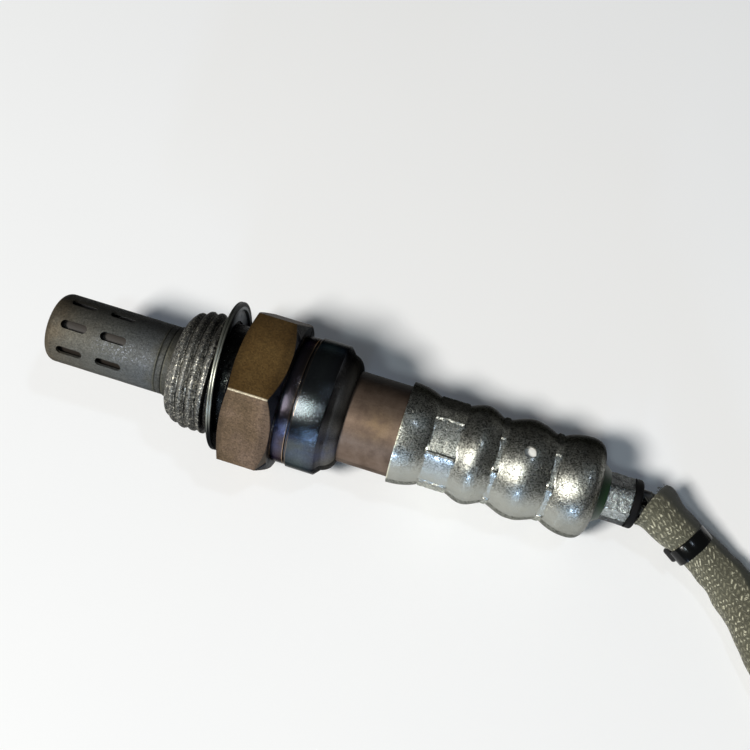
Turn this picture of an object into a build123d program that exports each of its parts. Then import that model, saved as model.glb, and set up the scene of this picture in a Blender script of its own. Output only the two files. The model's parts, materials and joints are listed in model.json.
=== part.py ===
from build123d import *
import os
from math import asin, atan2, cos, hypot, pi, radians, sin, tan

# A heated exhaust oxygen sensor with its harness and plug, lying on a flat surface.
# Millimetres, +Z up.  A station is a distance along the sensor's axis from the
# tip-side face of its hexagon, growing towards the cable.

# ---- driving dimensions: clearances -------------------------------------------------
slip = 0.05  # radial gap between turned pieces that are pressed together
loose = 0.10  # gap round the ceramic pieces and the wires
overshoot = 1.0  # how far a cut runs past the skin that it opens

# ---- threaded shell -----------------------------------------------------------------
thread_d = 18.0  # M18 x 1.5
thread_reach = 10.85  # nose to the hexagon's face
lead_in = 3.95  # rounded start of the thread
nose_r = 5.9
lead_in_bulge = (0.37, 0.66)  # share of the lead-in's length and rise at its middle
relief_length = 3.5  # undercut that holds the gasket captive
relief_r = 8.3
hex_af = 22.0
hex_length = 7.55
hex_front_cut = 0.65  # how far the corners are cut back, tip side
hex_rear_cut = 1.26  # and cable side
small_collar_r = 9.7
small_collar_length = 2.0
collar_groove = 0.4
collar_groove_depth = 0.25
large_collar_r = 9.95
large_collar_length = 4.2
lip_r = 8.98  # rolled lip that closes the shell
lip_length = 2.6
lip_slope = 0.85  # length of the slope from the collar down to the lip
lip_roll = 1.5  # length of the lip's rounded shoulder
lip_fullness = 0.85  # radius of that shoulder as a share of its chord
bore_r = 6.4
bore_start = 4.85  # nose to the seat of the ceramic element
throat_r = 3.7
shroud_pocket = 2.85  # depth of the nose pocket that holds both shrouds

# ---- gas shrouds --------------------------------------------------------------------
shroud_r = 5.275
shroud_wall = 0.45
shroud_length = 18.95  # nose to tip
shroud_corner = 1.4
shroud_flange_r = 5.4
shroud_flange_show = 0.1  # flange left outside the nose
weld_groove = 0.3
weld_pitch = 0.95  # between the two weld grooves
tip_hole_r = 1.0
slot_length = 4.05
slot_width = 1.3
slot_count = 8
slot_inset = 4.35  # tip to the centre of the first row
slot_row_pitch = 6.15
slot_turn = 18.3  # angle of the first slot
inner_shroud_r = 4.2
inner_shroud_wall = 0.35
inner_shroud_gap = 1.3  # between the two closed ends
inner_hole_r = 0.6
inner_hole_count = 6

# ---- ceramic element, heater and packing --------------------------------------------
element_r = 2.75
element_tip_gap = 0.9  # inside the inner shroud's end
element_wall = 0.95
element_flange_length = 4.6
element_neck_r = 4.2
element_top = 14.5
packing_ring = 0.4
talc_length = 6.0
bush_length = 6.0
heater_r = 1.5
heater_top = 22.0

# ---- sleeve tube --------------------------------------------------------------------
sleeve_r = 6.95
sleeve_wall = 0.6
sleeve_flange_r = 8.2
sleeve_flange = 0.8
sleeve_neck_inset = 1.5  # full-width tube inside the shield's lip
sleeve_neck_length = 2.3
caulk_ring_length = 3.2

# ---- outer shield: three beads between crimped grooves ------------------------------
shield_wall = 0.4
shield_lip = 24.7
shield_lip_r = 7.71
flare_length = 3.3  # lip to shoulder
shoulder_length = 1.05  # shoulder to the first groove
shield_shoulder_r = 7.1
shield_flare_r = 11.0
groove_1_length = 4.5  # grooves and beads follow one another to the cable end
bead_1_length = 5.2
groove_2_length = 1.0
bead_2_length = 7.0
groove_3_length = 1.1
bead_3_rise = 3.8  # length of the last bead up to its peak
groove_1_r = 6.73
groove_2_r = 6.49
groove_3_r = 6.52
bead_1_r = 7.5
bead_2_r = 7.52
bead_3_r = 7.55
dome_r = 2.6  # radius of the rounded cable end
opening_r = 4.75
jaw_count = 8  # jaws of the crimping tool, which leave a ridge between them
jaw_turn = 38.0
ridge_height = 0.12
ridge_width = 0.35
vent_r = 0.75
vent_angles = (92.8, 200.8, 308.8)

# ---- contacts and their ceramic holder ----------------------------------------------
holder_r = 5.6
holder_start = 17.5
holder_length = 21.5
holder_pocket_r = 2.75
holder_pocket = 6.5
clip_length = 9.0
clip_wall = 0.3
clip_opening = 40.0  # degrees left open
wire_circle_r = 1.75
wire_r = 0.85
wire_sides = ((1, 1), (-1, 1), (-1, -1), (1, -1))  # the side of the bundle each wire is on
barrel_length = 4.0
barrel_foot = 0.5
strip_thickness = 0.25
strip_width = 1.0
grip_wall = 0.2
grip_length = 6.0

# ---- vent filter, grommet, ferrule and ring -----------------------------------------
filter_wall = 0.35
filter_margin = 1.1
grommet_inside = 6.2  # length inside the sleeve tube
grommet_r = 6.05
grommet_collar_r = 4.65
grommet_nose_r = 3.75
grommet_nose = 1.4  # length of the cone outside the shield
ferrule_af = 6.4
ferrule_length = 3.85
ferrule_turn = 23.3
end_ring_r = 3.65
end_ring_length = 1.1
wire_show = 1.4  # bare wire between the ring and the braided sleeve

# ---- gasket -------------------------------------------------------------------------
gasket_r = 11.35
gasket_bore_r = 8.9
gasket_rim = 0.76
gasket_sheet = 0.35
gasket_fold = 1.15  # width of the folded-over lip
gasket_station = -2.2
gasket_tilt = 6.0
gasket_low_angle = 206.3  # side that leans towards the hexagon
gasket_drift = 0.4

# ---- harness ------------------------------------------------------------------------
braid_r = 2.8
first_run = 3.7
loop_r = 38.5
loop_centre = (108.5, -1.2)
loop_from = 220.0
loop_arc = 300.0
hook_r = 21.0
hook_arc = 120.0
bend_step = 30.0  # degrees between the points of a bend
tie_thickness = 0.8
tie_width = 2.0
tie_head = (2.6, 3.4)

# ---- plug ---------------------------------------------------------------------------
plug_length = 24.0
plug_width = 16.0
plug_height = 12.6
plug_corner = 1.5
plug_wire = 6.0  # loose wire between the sleeve and the plug
cavity_pitch = 4.4
cavity_r = 1.3
seal_pocket = 6.5
seal_wall = 1.5
seal_length = 5.5
lock_pocket = 2.6
lock_wall = 1.8
lock_length = 2.2
lock_slot = (1.8, 1.2)
terminal_length = 11.0
terminal_side = 1.5
terminal_wall = 0.25
latch_width = 5.0
latch_length = 15.0
latch_thickness = 1.2
latch_gap = 1.3
latch_foot = 3.0
latch_thumb = 0.8  # height of the thumb ridge on the latch
rib_width = 1.2  # ribs that guide the plug into its socket
rib_height = 0.8
rib_length = 15.0
rib_pitch = 6.0
collar_length = 3.0  # thicker collar round the mouth of the seal's pocket
collar_step = 0.6

# ---- stations of the shield's grooves and beads --------------------------------------
shield_shoulder = shield_lip + flare_length
groove_1_start = shield_shoulder + shoulder_length
groove_1 = (groove_1_start, groove_1_start + groove_1_length)
groove_2_start = groove_1[1] + bead_1_length
groove_2 = (groove_2_start, groove_2_start + groove_2_length)
groove_3_start = groove_2[1] + bead_2_length
groove_3 = (groove_3_start, groove_3_start + groove_3_length)
bead_3_peak = groove_3[1] + bead_3_rise

# ---- how the sensor lies: on the hexagon's rear edge and the last bead ---------------
rest_run = bead_3_peak - hex_length
rest_drop = hex_af / 2 - bead_3_r + dome_r
lean = atan2(rest_drop, rest_run) - asin(dome_r / hypot(rest_run, rest_drop))
origin_station = 16.265  # the station over the origin, near the sensor's middle
axis_height = hex_length * sin(lean) + hex_af / 2 * cos(lean)

# ---- stations that follow from the sizes --------------------------------------------
wire_count = len(wire_sides)
nose = -thread_reach
tip = nose - shroud_length
shroud_seat = nose + shroud_pocket
element_seat = nose + bore_start
flange_start = element_seat + packing_ring
flange_end = flange_start + element_flange_length
bush_start = flange_end + talc_length
sleeve_start = bush_start + bush_length
caulk_start = sleeve_start + sleeve_flange
small_collar_end = hex_length + small_collar_length
large_collar_start = small_collar_end + collar_groove
large_collar_end = large_collar_start + large_collar_length
lip_end = large_collar_end + lip_length
shield_end = bead_3_peak + dome_r
holder_end = holder_start + holder_length
grommet_end = shield_end + grommet_nose
ferrule_end = grommet_end + ferrule_length
ring_end = ferrule_end + end_ring_length
wire_end = ring_end + wire_show
origin_x = -origin_station * cos(lean)

# ---- the sensor's own planes --------------------------------------------------------
along = Vector(cos(lean), 0, -sin(lean))
up = Vector(sin(lean), 0, cos(lean))
back = Vector(0, 1, 0)


def at(station):
    """The point on the sensor's axis at a station."""
    return Vector(origin_x, 0, axis_height) + along * station


def radial(angle):
    """The direction square to the axis, turned from the back towards the top."""
    return back * cos(radians(angle)) + up * sin(radians(angle))


def cross(station):
    """The plane square to the axis at a station."""
    return Plane(origin=at(station), x_dir=back, z_dir=along)


def lengthwise(angle):
    """The half-section plane: x is the station and y is the radius at an angle."""
    return Plane(origin=at(0), x_dir=along, z_dir=along.cross(radial(angle)))


def skin(station, angle):
    """A plane on the axis that faces outwards at an angle, for cuts through a wall."""
    return Plane(origin=at(station), x_dir=along, z_dir=radial(angle))


half_section = lengthwise(90)
sensor_axis = Axis(at(0), along)


def turn(*corners, mode=Mode.ADD):
    """Revolve a section, given as (station, radius) corners, about the axis."""
    with BuildSketch(half_section) as outline:
        with BuildLine():
            Polyline(*corners, close=True)
        make_face()
    revolve(outline.sketch, axis=sensor_axis, mode=mode)


def tube(start, end, inner, outer, mode=Mode.ADD):
    """A plain turned ring between two stations."""
    turn((start, inner), (start, outer), (end, outer), (end, inner), mode=mode)


os.makedirs("parts", exist_ok=True)

# ---- gas shrouds --------------------------------------------------------------------
with BuildPart() as outer_shroud:
    with BuildSketch(half_section):
        with BuildLine():
            flange_front = nose - shroud_flange_show
            weld_floor_r = shroud_r - weld_groove / 2
            weld_2 = flange_front - weld_groove / 2
            weld_1 = weld_2 - weld_pitch
            inner_r = shroud_r - shroud_wall
            end_inside = tip + shroud_wall
            inner_corner = shroud_corner - shroud_wall
            Polyline(
                (tip + shroud_corner, shroud_r),
                (weld_1 - weld_groove / 2, shroud_r),
                (weld_1, weld_floor_r),
                (weld_1 + weld_groove / 2, shroud_r),
                (weld_2 - weld_groove / 2, shroud_r),
                (weld_2, weld_floor_r),
                (flange_front, weld_floor_r),
                (flange_front, shroud_flange_r),
                (shroud_seat, shroud_flange_r),
                (shroud_seat, inner_r),
                (end_inside + inner_corner, inner_r),
            )
            RadiusArc(
                (end_inside + inner_corner, inner_r),
                (end_inside, inner_r - inner_corner),
                -inner_corner,
            )
            Polyline(
                (end_inside, inner_r - inner_corner),
                (end_inside, tip_hole_r),
                (tip, tip_hole_r),
                (tip, shroud_r - shroud_corner),
            )
            RadiusArc(
                (tip, shroud_r - shroud_corner), (tip + shroud_corner, shroud_r), shroud_corner
            )
        make_face()
    revolve(axis=sensor_axis)
    for row in range(2):
        for n in range(slot_count):
            station = tip + slot_inset + row * slot_row_pitch
            with BuildSketch(skin(station, slot_turn + n * 360 / slot_count)):
                SlotOverall(slot_length, slot_width)
            extrude(amount=shroud_r + overshoot, mode=Mode.SUBTRACT)
outer_shroud.part.label = "outer_shroud"
export_step(outer_shroud.part, "parts/outer_shroud.step")

inner_tip = tip + shroud_wall + inner_shroud_gap
with BuildPart() as inner_shroud:
    inner_bore = inner_shroud_r - inner_shroud_wall
    flange_r = shroud_r - shroud_wall - slip
    turn(
        (inner_tip, tip_hole_r),
        (inner_tip, inner_shroud_r - inner_shroud_wall),
        (inner_tip + inner_shroud_wall, inner_shroud_r),
        (shroud_seat - 2 * inner_shroud_wall, inner_shroud_r),
        (shroud_seat - 2 * inner_shroud_wall, flange_r),
        (shroud_seat, flange_r),
        (shroud_seat, inner_bore),
        (inner_tip + inner_shroud_wall, inner_bore),
        (inner_tip + inner_shroud_wall, tip_hole_r),
    )
    for n in range(inner_hole_count):
        station = tip + slot_inset + slot_row_pitch / 2
        with BuildSketch(skin(station, slot_turn + (n + 0.5) * 360 / inner_hole_count)):
            Circle(inner_hole_r)
        extrude(amount=inner_shroud_r + overshoot, mode=Mode.SUBTRACT)
inner_shroud.part.label = "inner_shroud"
export_step(inner_shroud.part, "parts/inner_shroud.step")

# ---- ceramic cup, heater and the packing that seals them ----------------------------
cup_tip = inner_tip + inner_shroud_wall + element_tip_gap
cup_bore = element_r - element_wall
with BuildPart() as sensing_element:
    with BuildSketch(half_section):
        with BuildLine():
            RadiusArc((cup_tip, 0), (cup_tip + element_r, element_r), element_r)
            Polyline(
                (cup_tip + element_r, element_r),
                (flange_start, throat_r - 3 * loose),
                (flange_start, bore_r - loose),
                (flange_end, bore_r - loose),
                (flange_end, element_neck_r),
                (element_top, element_neck_r),
                (element_top, cup_bore),
                (cup_tip + element_r, cup_bore),
            )
            RadiusArc(
                (cup_tip + element_r, cup_bore), (cup_tip + element_wall, 0), -cup_bore
            )
            Line((cup_tip + element_wall, 0), (cup_tip, 0))
        make_face()
    revolve(axis=sensor_axis)
sensing_element.part.label = "sensing_element"
export_step(sensing_element.part, "parts/sensing_element.step")

with BuildPart() as heater_rod:
    heater_tip = cup_tip + element_r
    turn((heater_tip, 0), (heater_tip, heater_r), (heater_top, heater_r), (heater_top, 0))
heater_rod.part.label = "heater_rod"
export_step(heater_rod.part, "parts/heater_rod.step")

with BuildPart() as packing_washer:
    tube(element_seat, flange_start, throat_r + loose, bore_r - slip)
packing_washer.part.label = "packing_washer"
export_step(packing_washer.part, "parts/packing_washer.step")

with BuildPart() as talc_packing:
    tube(flange_end, bush_start, element_neck_r + slip, bore_r - slip)
talc_packing.part.label = "talc_packing"
export_step(talc_packing.part, "parts/talc_packing.step")

with BuildPart() as insulator_bush:
    tube(bush_start, sleeve_start, element_neck_r + loose, bore_r - loose)
insulator_bush.part.label = "insulator_bush"
export_step(insulator_bush.part, "parts/insulator_bush.step")

# ---- threaded shell -----------------------------------------------------------------
with BuildPart() as hexagon:
    with BuildSketch(cross(0)):
        RegularPolygon(hex_af / 2, 6, major_radius=False)
    extrude(amount=hex_length)
    corner_r = hex_af / 2 / cos(pi / 6)
    turn(
        (0, 0),
        (0, hex_af / 2),
        (hex_front_cut, corner_r),
        (hex_length - hex_rear_cut, corner_r),
        (hex_length, hex_af / 2),
        (hex_length, 0),
        mode=Mode.INTERSECT,
    )

with BuildPart() as threaded_shell:
    with BuildSketch(half_section):
        with BuildLine():
            thread_r = thread_d / 2
            thread_start = nose + lead_in
            bulge_run, bulge_rise = lead_in_bulge
            sleeve_bore_r = sleeve_r + slip
            pocket_r = sleeve_flange_r + slip
            caulk_end = caulk_start + caulk_ring_length
            roll_start = lip_end - lip_roll
            roll_r = lip_fullness * hypot(lip_roll, lip_r - sleeve_bore_r)
            ThreePointArc(
                (nose, nose_r),
                (nose + bulge_run * lead_in, nose_r + bulge_rise * (thread_r - nose_r)),
                (thread_start, thread_r),
            )
            Polyline(
                (thread_start, thread_r),
                (-relief_length, thread_r),
                (-relief_length, relief_r),
                (0, relief_r),
                (0, small_collar_r),
                (small_collar_end, small_collar_r),
                (small_collar_end, small_collar_r - collar_groove_depth),
                (large_collar_start, small_collar_r - collar_groove_depth),
                (large_collar_start, large_collar_r),
                (large_collar_end, large_collar_r),
                (large_collar_end + lip_slope, lip_r),
                (roll_start, lip_r),
            )
            RadiusArc((roll_start, lip_r), (lip_end, sleeve_bore_r), roll_r)
            Polyline(
                (lip_end, sleeve_bore_r),
                (caulk_end + lip_roll / 2, sleeve_bore_r),
                (caulk_end, pocket_r),
                (sleeve_start, pocket_r),
                (sleeve_start, bore_r),
                (element_seat, bore_r),
                (element_seat, throat_r),
                (shroud_seat, throat_r),
                (shroud_seat, shroud_flange_r + slip),
                (nose, shroud_flange_r + slip),
                (nose, nose_r),
            )
        make_face()
    revolve(axis=sensor_axis)
    add(hexagon.part)
    tube(nose, sleeve_start, 0, throat_r, mode=Mode.SUBTRACT)
    tube(element_seat, sleeve_start, 0, bore_r, mode=Mode.SUBTRACT)
threaded_shell.part.label = "threaded_shell"
export_step(threaded_shell.part, "parts/threaded_shell.step")

# ---- captive gasket: one sheet, folded over at the rim -------------------------------
low_side = radial(gasket_low_angle)
gasket_normal = along * cos(radians(gasket_tilt)) - low_side * sin(radians(gasket_tilt))
gasket_radius = along.cross(low_side)
gasket_plane = Plane(
    origin=at(gasket_station) - low_side * gasket_drift,
    x_dir=gasket_normal,
    z_dir=gasket_normal.cross(gasket_radius),
)
with BuildPart() as sealing_gasket:
    with BuildSketch(gasket_plane):
        with BuildLine():
            half = gasket_rim / 2
            quarter = gasket_rim / 4
            Polyline(
                (-half, gasket_r - quarter),
                (-half, gasket_bore_r),
                (gasket_sheet - half, gasket_bore_r),
                (gasket_sheet - half, gasket_r - gasket_fold),
                (half, gasket_r - gasket_fold),
                (half, gasket_r - quarter),
            )
            crease = (0, gasket_r - quarter / 2)
            ThreePointArc((half, gasket_r - quarter), (quarter, gasket_r), crease)
            ThreePointArc(crease, (-quarter, gasket_r), (-half, gasket_r - quarter))
        make_face()
    revolve(axis=Axis(gasket_plane.origin, gasket_normal))
sealing_gasket.part.label = "sealing_gasket"
export_step(sealing_gasket.part, "parts/sealing_gasket.step")

# ---- sleeve tube and the ring caulked over its flange --------------------------------
neck_1_r = groove_1_r - shield_wall - slip
neck_2_r = groove_2_r - shield_wall - slip
sleeve_neck_start = shield_lip + sleeve_neck_inset
neck_1 = sleeve_neck_start + sleeve_neck_length
neck_2_start = (groove_1[1] + groove_2[0]) / 2
neck_2 = neck_2_start + sleeve_neck_length / 2
sleeve_end = groove_3[1]
with BuildPart() as sleeve_tube:
    turn(
        (sleeve_start, sleeve_r - sleeve_wall),
        (sleeve_start, sleeve_flange_r),
        (caulk_start, sleeve_flange_r),
        (caulk_start, sleeve_r),
        (sleeve_neck_start, sleeve_r),
        (neck_1, neck_1_r),
        (neck_2_start, neck_1_r),
        (neck_2, neck_2_r),
        (sleeve_end, neck_2_r),
        (sleeve_end, neck_2_r - sleeve_wall),
        (neck_2, neck_2_r - sleeve_wall),
        (neck_2_start, neck_1_r - sleeve_wall),
        (neck_1, neck_1_r - sleeve_wall),
        (sleeve_neck_start, sleeve_r - sleeve_wall),
    )
    vent_station = (groove_2[1] + groove_3[0]) / 2
    for angle in vent_angles:
        with BuildSketch(skin(vent_station, angle)):
            Circle(vent_r)
        extrude(amount=sleeve_r, mode=Mode.SUBTRACT)
sleeve_tube.part.label = "sleeve_tube"
export_step(sleeve_tube.part, "parts/sleeve_tube.step")

with BuildPart() as caulk_ring:
    tube(caulk_start, caulk_start + caulk_ring_length, sleeve_r + slip, sleeve_flange_r)
caulk_ring.part.label = "caulk_ring"
export_step(caulk_ring.part, "parts/caulk_ring.step")


# ---- outer shield -------------------------------------------------------------------
def shield_face(inset):
    """One face of the shield's sheet, from its lip to the rounded cable end."""
    first = (groove_1[0], groove_1_r - inset)
    shoulder = (shield_shoulder, shield_shoulder_r - inset)
    lip = (shield_lip, shield_lip_r - inset)
    RadiusArc(lip, shoulder, shield_flare_r)
    Line(shoulder, first)
    grooves = (groove_1, groove_2, groove_3)
    floors = (groove_1_r, groove_2_r, groove_3_r)
    beads = (bead_1_r, bead_2_r)
    for groove, floor in zip(grooves, floors):
        Line((groove[0], floor - inset), (groove[1], floor - inset))
    for n, bead in enumerate(beads):
        middle = (grooves[n][1] + grooves[n + 1][0]) / 2
        ThreePointArc(
            (grooves[n][1], floors[n] - inset),
            (middle, bead - inset),
            (grooves[n + 1][0], floors[n + 1] - inset),
        )
    rise = bead_3_r - groove_3_r
    run = bead_3_peak - groove_3[1]
    bead_radius = (run**2 + rise**2) / (2 * rise)
    peak = (bead_3_peak, bead_3_r - inset)
    RadiusArc((groove_3[1], groove_3_r - inset), peak, bead_radius)
    RadiusArc(peak, (shield_end - inset, bead_3_r - dome_r), dome_r - inset)
    Line((shield_end - inset, bead_3_r - dome_r), (shield_end - inset, opening_r))


with BuildPart() as outer_shield:
    with BuildSketch(half_section):
        with BuildLine():
            shield_face(0)
            shield_face(shield_wall)
            Line((shield_lip, shield_lip_r), (shield_lip, shield_lip_r - shield_wall))
            Line((shield_end, opening_r), (shield_end - shield_wall, opening_r))
        make_face()
    revolve(axis=sensor_axis)
    for groove, floor in ((groove_1, groove_1_r), (groove_2, groove_2_r), (groove_3, groove_3_r)):
        for n in range(jaw_count):
            with BuildSketch(lengthwise(jaw_turn + n * 360 / jaw_count)):
                with Locations(((groove[0] + groove[1]) / 2, floor)):
                    Rectangle(groove[1] - groove[0], 2 * ridge_height)
            extrude(amount=ridge_width / 2, both=True)
    for angle in vent_angles:
        with BuildSketch(skin(vent_station, angle)):
            Circle(vent_r)
        extrude(amount=bead_2_r + overshoot, mode=Mode.SUBTRACT)
outer_shield.part.label = "outer_shield"
export_step(outer_shield.part, "parts/outer_shield.step")

with BuildPart() as vent_filter:
    filter_r = neck_2_r + slip
    tube(groove_2[1] + filter_margin, groove_3[0] - filter_margin, filter_r, filter_r + filter_wall)
vent_filter.part.label = "vent_filter"
export_step(vent_filter.part, "parts/vent_filter.step")

# ---- ceramic holder for the contacts, and the clip round it --------------------------
with BuildPart() as contact_holder:
    tube(holder_start, holder_end, 0, neck_2_r - sleeve_wall - loose)
    tube(holder_start, neck_1, 0, holder_r)
    with BuildSketch(cross(holder_start)):
        Circle(holder_pocket_r)
    extrude(amount=holder_pocket, mode=Mode.SUBTRACT)
    with BuildSketch(cross(holder_start)):
        with PolarLocations(wire_circle_r, wire_count, start_angle=45):
            Circle(wire_r + loose)
    extrude(amount=holder_length, mode=Mode.SUBTRACT)
contact_holder.part.label = "contact_holder"
export_step(contact_holder.part, "parts/contact_holder.step")

with BuildPart() as holder_clip:
    clip_start = holder_start + 1
    clip_r = holder_r + slip
    foot_r = sleeve_r - sleeve_wall - slip
    with BuildSketch(lengthwise(-90 + clip_opening / 2)) as clip_section:
        with BuildLine():
            Polyline(
                (clip_start, clip_r),
                (clip_start, foot_r),
                (clip_start + clip_wall, foot_r),
                (clip_start + clip_wall, clip_r + clip_wall),
                (clip_start + clip_length, clip_r + clip_wall),
                (clip_start + clip_length, clip_r),
                close=True,
            )
        make_face()
    revolve(axis=sensor_axis, revolution_arc=360 - clip_opening)
holder_clip.part.label = "holder_clip"
export_step(holder_clip.part, "parts/holder_clip.step")

# ---- four contacts, each a strip with a barrel crimped on its wire -------------------
wire_start = holder_end - loose
barrel_start = wire_start - barrel_length
strip_r = heater_r + slip + strip_thickness / 2


def strip(station, length, angle):
    """A flat strip beside the heater, with the wire barrel at its cable end."""
    with BuildSketch(cross(station)) as flat:
        with PolarLocations(strip_r, 1, start_angle=angle):
            Rectangle(strip_thickness, strip_width)
    extrude(flat.sketch, amount=length)
    with BuildSketch(cross(barrel_start)) as barrel:
        with PolarLocations(wire_circle_r, 1, start_angle=angle):
            Circle(wire_r)
            Circle(wire_r - grip_wall, mode=Mode.SUBTRACT)
    extrude(barrel.sketch, amount=barrel_length)
    with BuildSketch(cross(barrel_start)) as foot:
        with PolarLocations(wire_circle_r, 1, start_angle=angle):
            Circle(wire_r)
    extrude(foot.sketch, amount=barrel_foot)


with BuildPart() as inner_contact:
    grip_start = element_top - grip_length
    grip_end = element_top + 2 * strip_thickness
    strip(element_top + slip, barrel_start - element_top - slip, 45)
    tube(grip_start, grip_end, heater_r + slip, cup_bore - slip)
inner_contact.part.label = "inner_contact"
export_step(inner_contact.part, "parts/inner_contact.step")

with BuildPart() as outer_contact:
    cap_r = element_neck_r + slip
    cap_start = sleeve_start + loose
    bridge = (element_top + holder_start) / 2
    strip(bridge, barrel_start - bridge, 225)
    tube(cap_start, bridge, cap_r, cap_r + grip_wall)
    with BuildSketch(cross(bridge)):
        with PolarLocations((strip_r + cap_r) / 2, 1, start_angle=225):
            Rectangle(cap_r + grip_wall - strip_r + strip_thickness, strip_width)
    extrude(amount=-strip_thickness)
outer_contact.part.label = "outer_contact"
export_step(outer_contact.part, "parts/outer_contact.step")

for number, angle in ((1, 135), (2, 315)):
    with BuildPart() as heater_contact:
        pad = holder_start + loose
        strip(pad, barrel_start - pad, angle)
    name = f"heater_contact_{number}"
    heater_contact.part.label = name
    export_step(heater_contact.part, f"parts/{name}.step")

# ---- lead wires, from their barrels to the braided sleeve ----------------------------
for number in range(wire_count):
    with BuildPart() as lead_wire:
        wire_angle = 45 + number * 360 / wire_count
        with BuildSketch(cross(wire_start)):
            with PolarLocations(wire_circle_r, 1, start_angle=wire_angle):
                Circle(wire_r)
        extrude(amount=wire_end - wire_start)
        with BuildSketch(cross(wire_start)):
            with PolarLocations(wire_circle_r, 1, start_angle=wire_angle):
                Circle(wire_r - grip_wall - slip)
        extrude(amount=-barrel_length / 2)
    name = f"lead_wire_{number + 1}"
    lead_wire.part.label = name
    export_step(lead_wire.part, f"parts/{name}.step")


def wire_holes(station, length):
    """Bore the four wire holes through a piece."""
    with BuildSketch(cross(station)) as holes:
        with PolarLocations(wire_circle_r, wire_count, start_angle=45):
            Circle(wire_r + slip)
    extrude(holes.sketch, amount=length, mode=Mode.SUBTRACT)


# ---- grommet, crimped ferrule and end ring ------------------------------------------
grommet_start = sleeve_end - grommet_inside
inside_r = neck_2_r - sleeve_wall - slip
dome_start = bead_3_peak + slip
with BuildPart() as grommet:
    turn(
        (grommet_start, 0),
        (grommet_start, inside_r),
        (sleeve_end + slip, inside_r),
        (sleeve_end + slip, grommet_r),
        (dome_start, grommet_r),
        (shield_end - shield_wall - loose, grommet_collar_r),
        (shield_end + loose, grommet_collar_r),
        (grommet_end, grommet_nose_r),
        (grommet_end, 0),
    )
    wire_holes(grommet_start, grommet_end - grommet_start)
grommet.part.label = "grommet"
export_step(grommet.part, "parts/grommet.step")

bundle_r = wire_circle_r + wire_r + slip
with BuildPart() as crimp_ferrule:
    with BuildSketch(cross(grommet_end)):
        RegularPolygon(ferrule_af / 2, 6, major_radius=False, rotation=ferrule_turn)
        Circle(bundle_r + slip, mode=Mode.SUBTRACT)
    extrude(amount=ferrule_length)
crimp_ferrule.part.label = "crimp_ferrule"
export_step(crimp_ferrule.part, "parts/crimp_ferrule.step")

with BuildPart() as end_ring:
    with BuildSketch(half_section):
        with BuildLine():
            round_r = end_ring_length / 3
            Polyline(
                (ring_end - round_r, end_ring_r),
                (ferrule_end, end_ring_r),
                (ferrule_end, bundle_r),
                (ring_end, bundle_r),
                (ring_end, end_ring_r - round_r),
            )
            RadiusArc((ring_end, end_ring_r - round_r), (ring_end - round_r, end_ring_r), -round_r)
        make_face()
    revolve(axis=sensor_axis)
end_ring.part.label = "end_ring"
export_step(end_ring.part, "parts/end_ring.step")

# ---- route of the braided sleeve ----------------------------------------------------
# Out of the sensor along its axis, down to the surface in a bend to the front, once
# round in an open loop, then hooked back into the loop to the plug that lies there.
hand_points = [
    (54.9, -3.1, 3.9),
    (60.9, -7.6, 3.0),
    (66.9, -14.4, braid_r),
    (74.3, -23.6, braid_r),
]


def bend(centre, radius, start, sweep_angle, heights):
    """Corner points that go round a circle, one for each height."""
    step = sweep_angle / len(heights)
    corner_radius = radius / cos(radians(step / 2))
    points = []
    for n, height in enumerate(heights):
        angle = radians(start + (n + 0.5) * step)
        x = centre[0] + corner_radius * cos(angle)
        y = centre[1] + corner_radius * sin(angle)
        points.append((x, y, height))
    return points


hook_from = loop_from + loop_arc
hook_shift = loop_r - hook_r
hook_centre = (
    loop_centre[0] + hook_shift * cos(radians(hook_from)),
    loop_centre[1] + hook_shift * sin(radians(hook_from)),
)
loop_heights = [braid_r] * round(loop_arc / bend_step)
hook_heights = [braid_r, braid_r, 3.3, 4.7]
plug_axis_height = plug_height / 2 + collar_step
plug_heading = 12.0
plug_run = 8.0
last_corner = (99.7, -15.1, plug_axis_height)
plug_dir = Vector(cos(radians(plug_heading)), sin(radians(plug_heading)), 0)
braid_end = Vector(*last_corner) + plug_dir * plug_run

route = [at(wire_end), at(wire_end + first_run)]
route += [Vector(*point) for point in hand_points]
route += [Vector(*point) for point in bend(loop_centre, loop_r, loop_from, loop_arc, loop_heights)]
route += [Vector(*point) for point in bend(hook_centre, hook_r, hook_from, hook_arc, hook_heights)]
route += [Vector(*last_corner), braid_end]


def bend_radii(points):
    """The largest arc at each corner that leaves a tenth of the shorter run straight."""
    radii = []
    for before, corner, after in zip(points, points[1:], points[2:]):
        shorter = min((corner - before).length, (after - corner).length)
        turn_angle = radians((corner - before).get_angle(after - corner))
        radii.append(0.45 * shorter / tan(turn_angle / 2))
    return radii


braid_radii = bend_radii(route)
print("braid bend radii:", [round(radius, 1) for radius in braid_radii])
with BuildPart() as braided_sleeve:
    with BuildLine() as braid_path:
        FilletPolyline(*route, radius=braid_radii)
    with BuildSketch(Plane(origin=route[0], z_dir=along)):
        Circle(braid_r)
    sweep()
braid_length = sum(edge.length for edge in braid_path.line.edges())
print("braid length:", round(braid_length, 1))
print("braid volume over section times length:",
      round(braided_sleeve.part.volume / (pi * braid_r**2 * braid_length), 4))
braided_sleeve.part.label = "braided_sleeve"
export_step(braided_sleeve.part, "parts/braided_sleeve.step")

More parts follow.
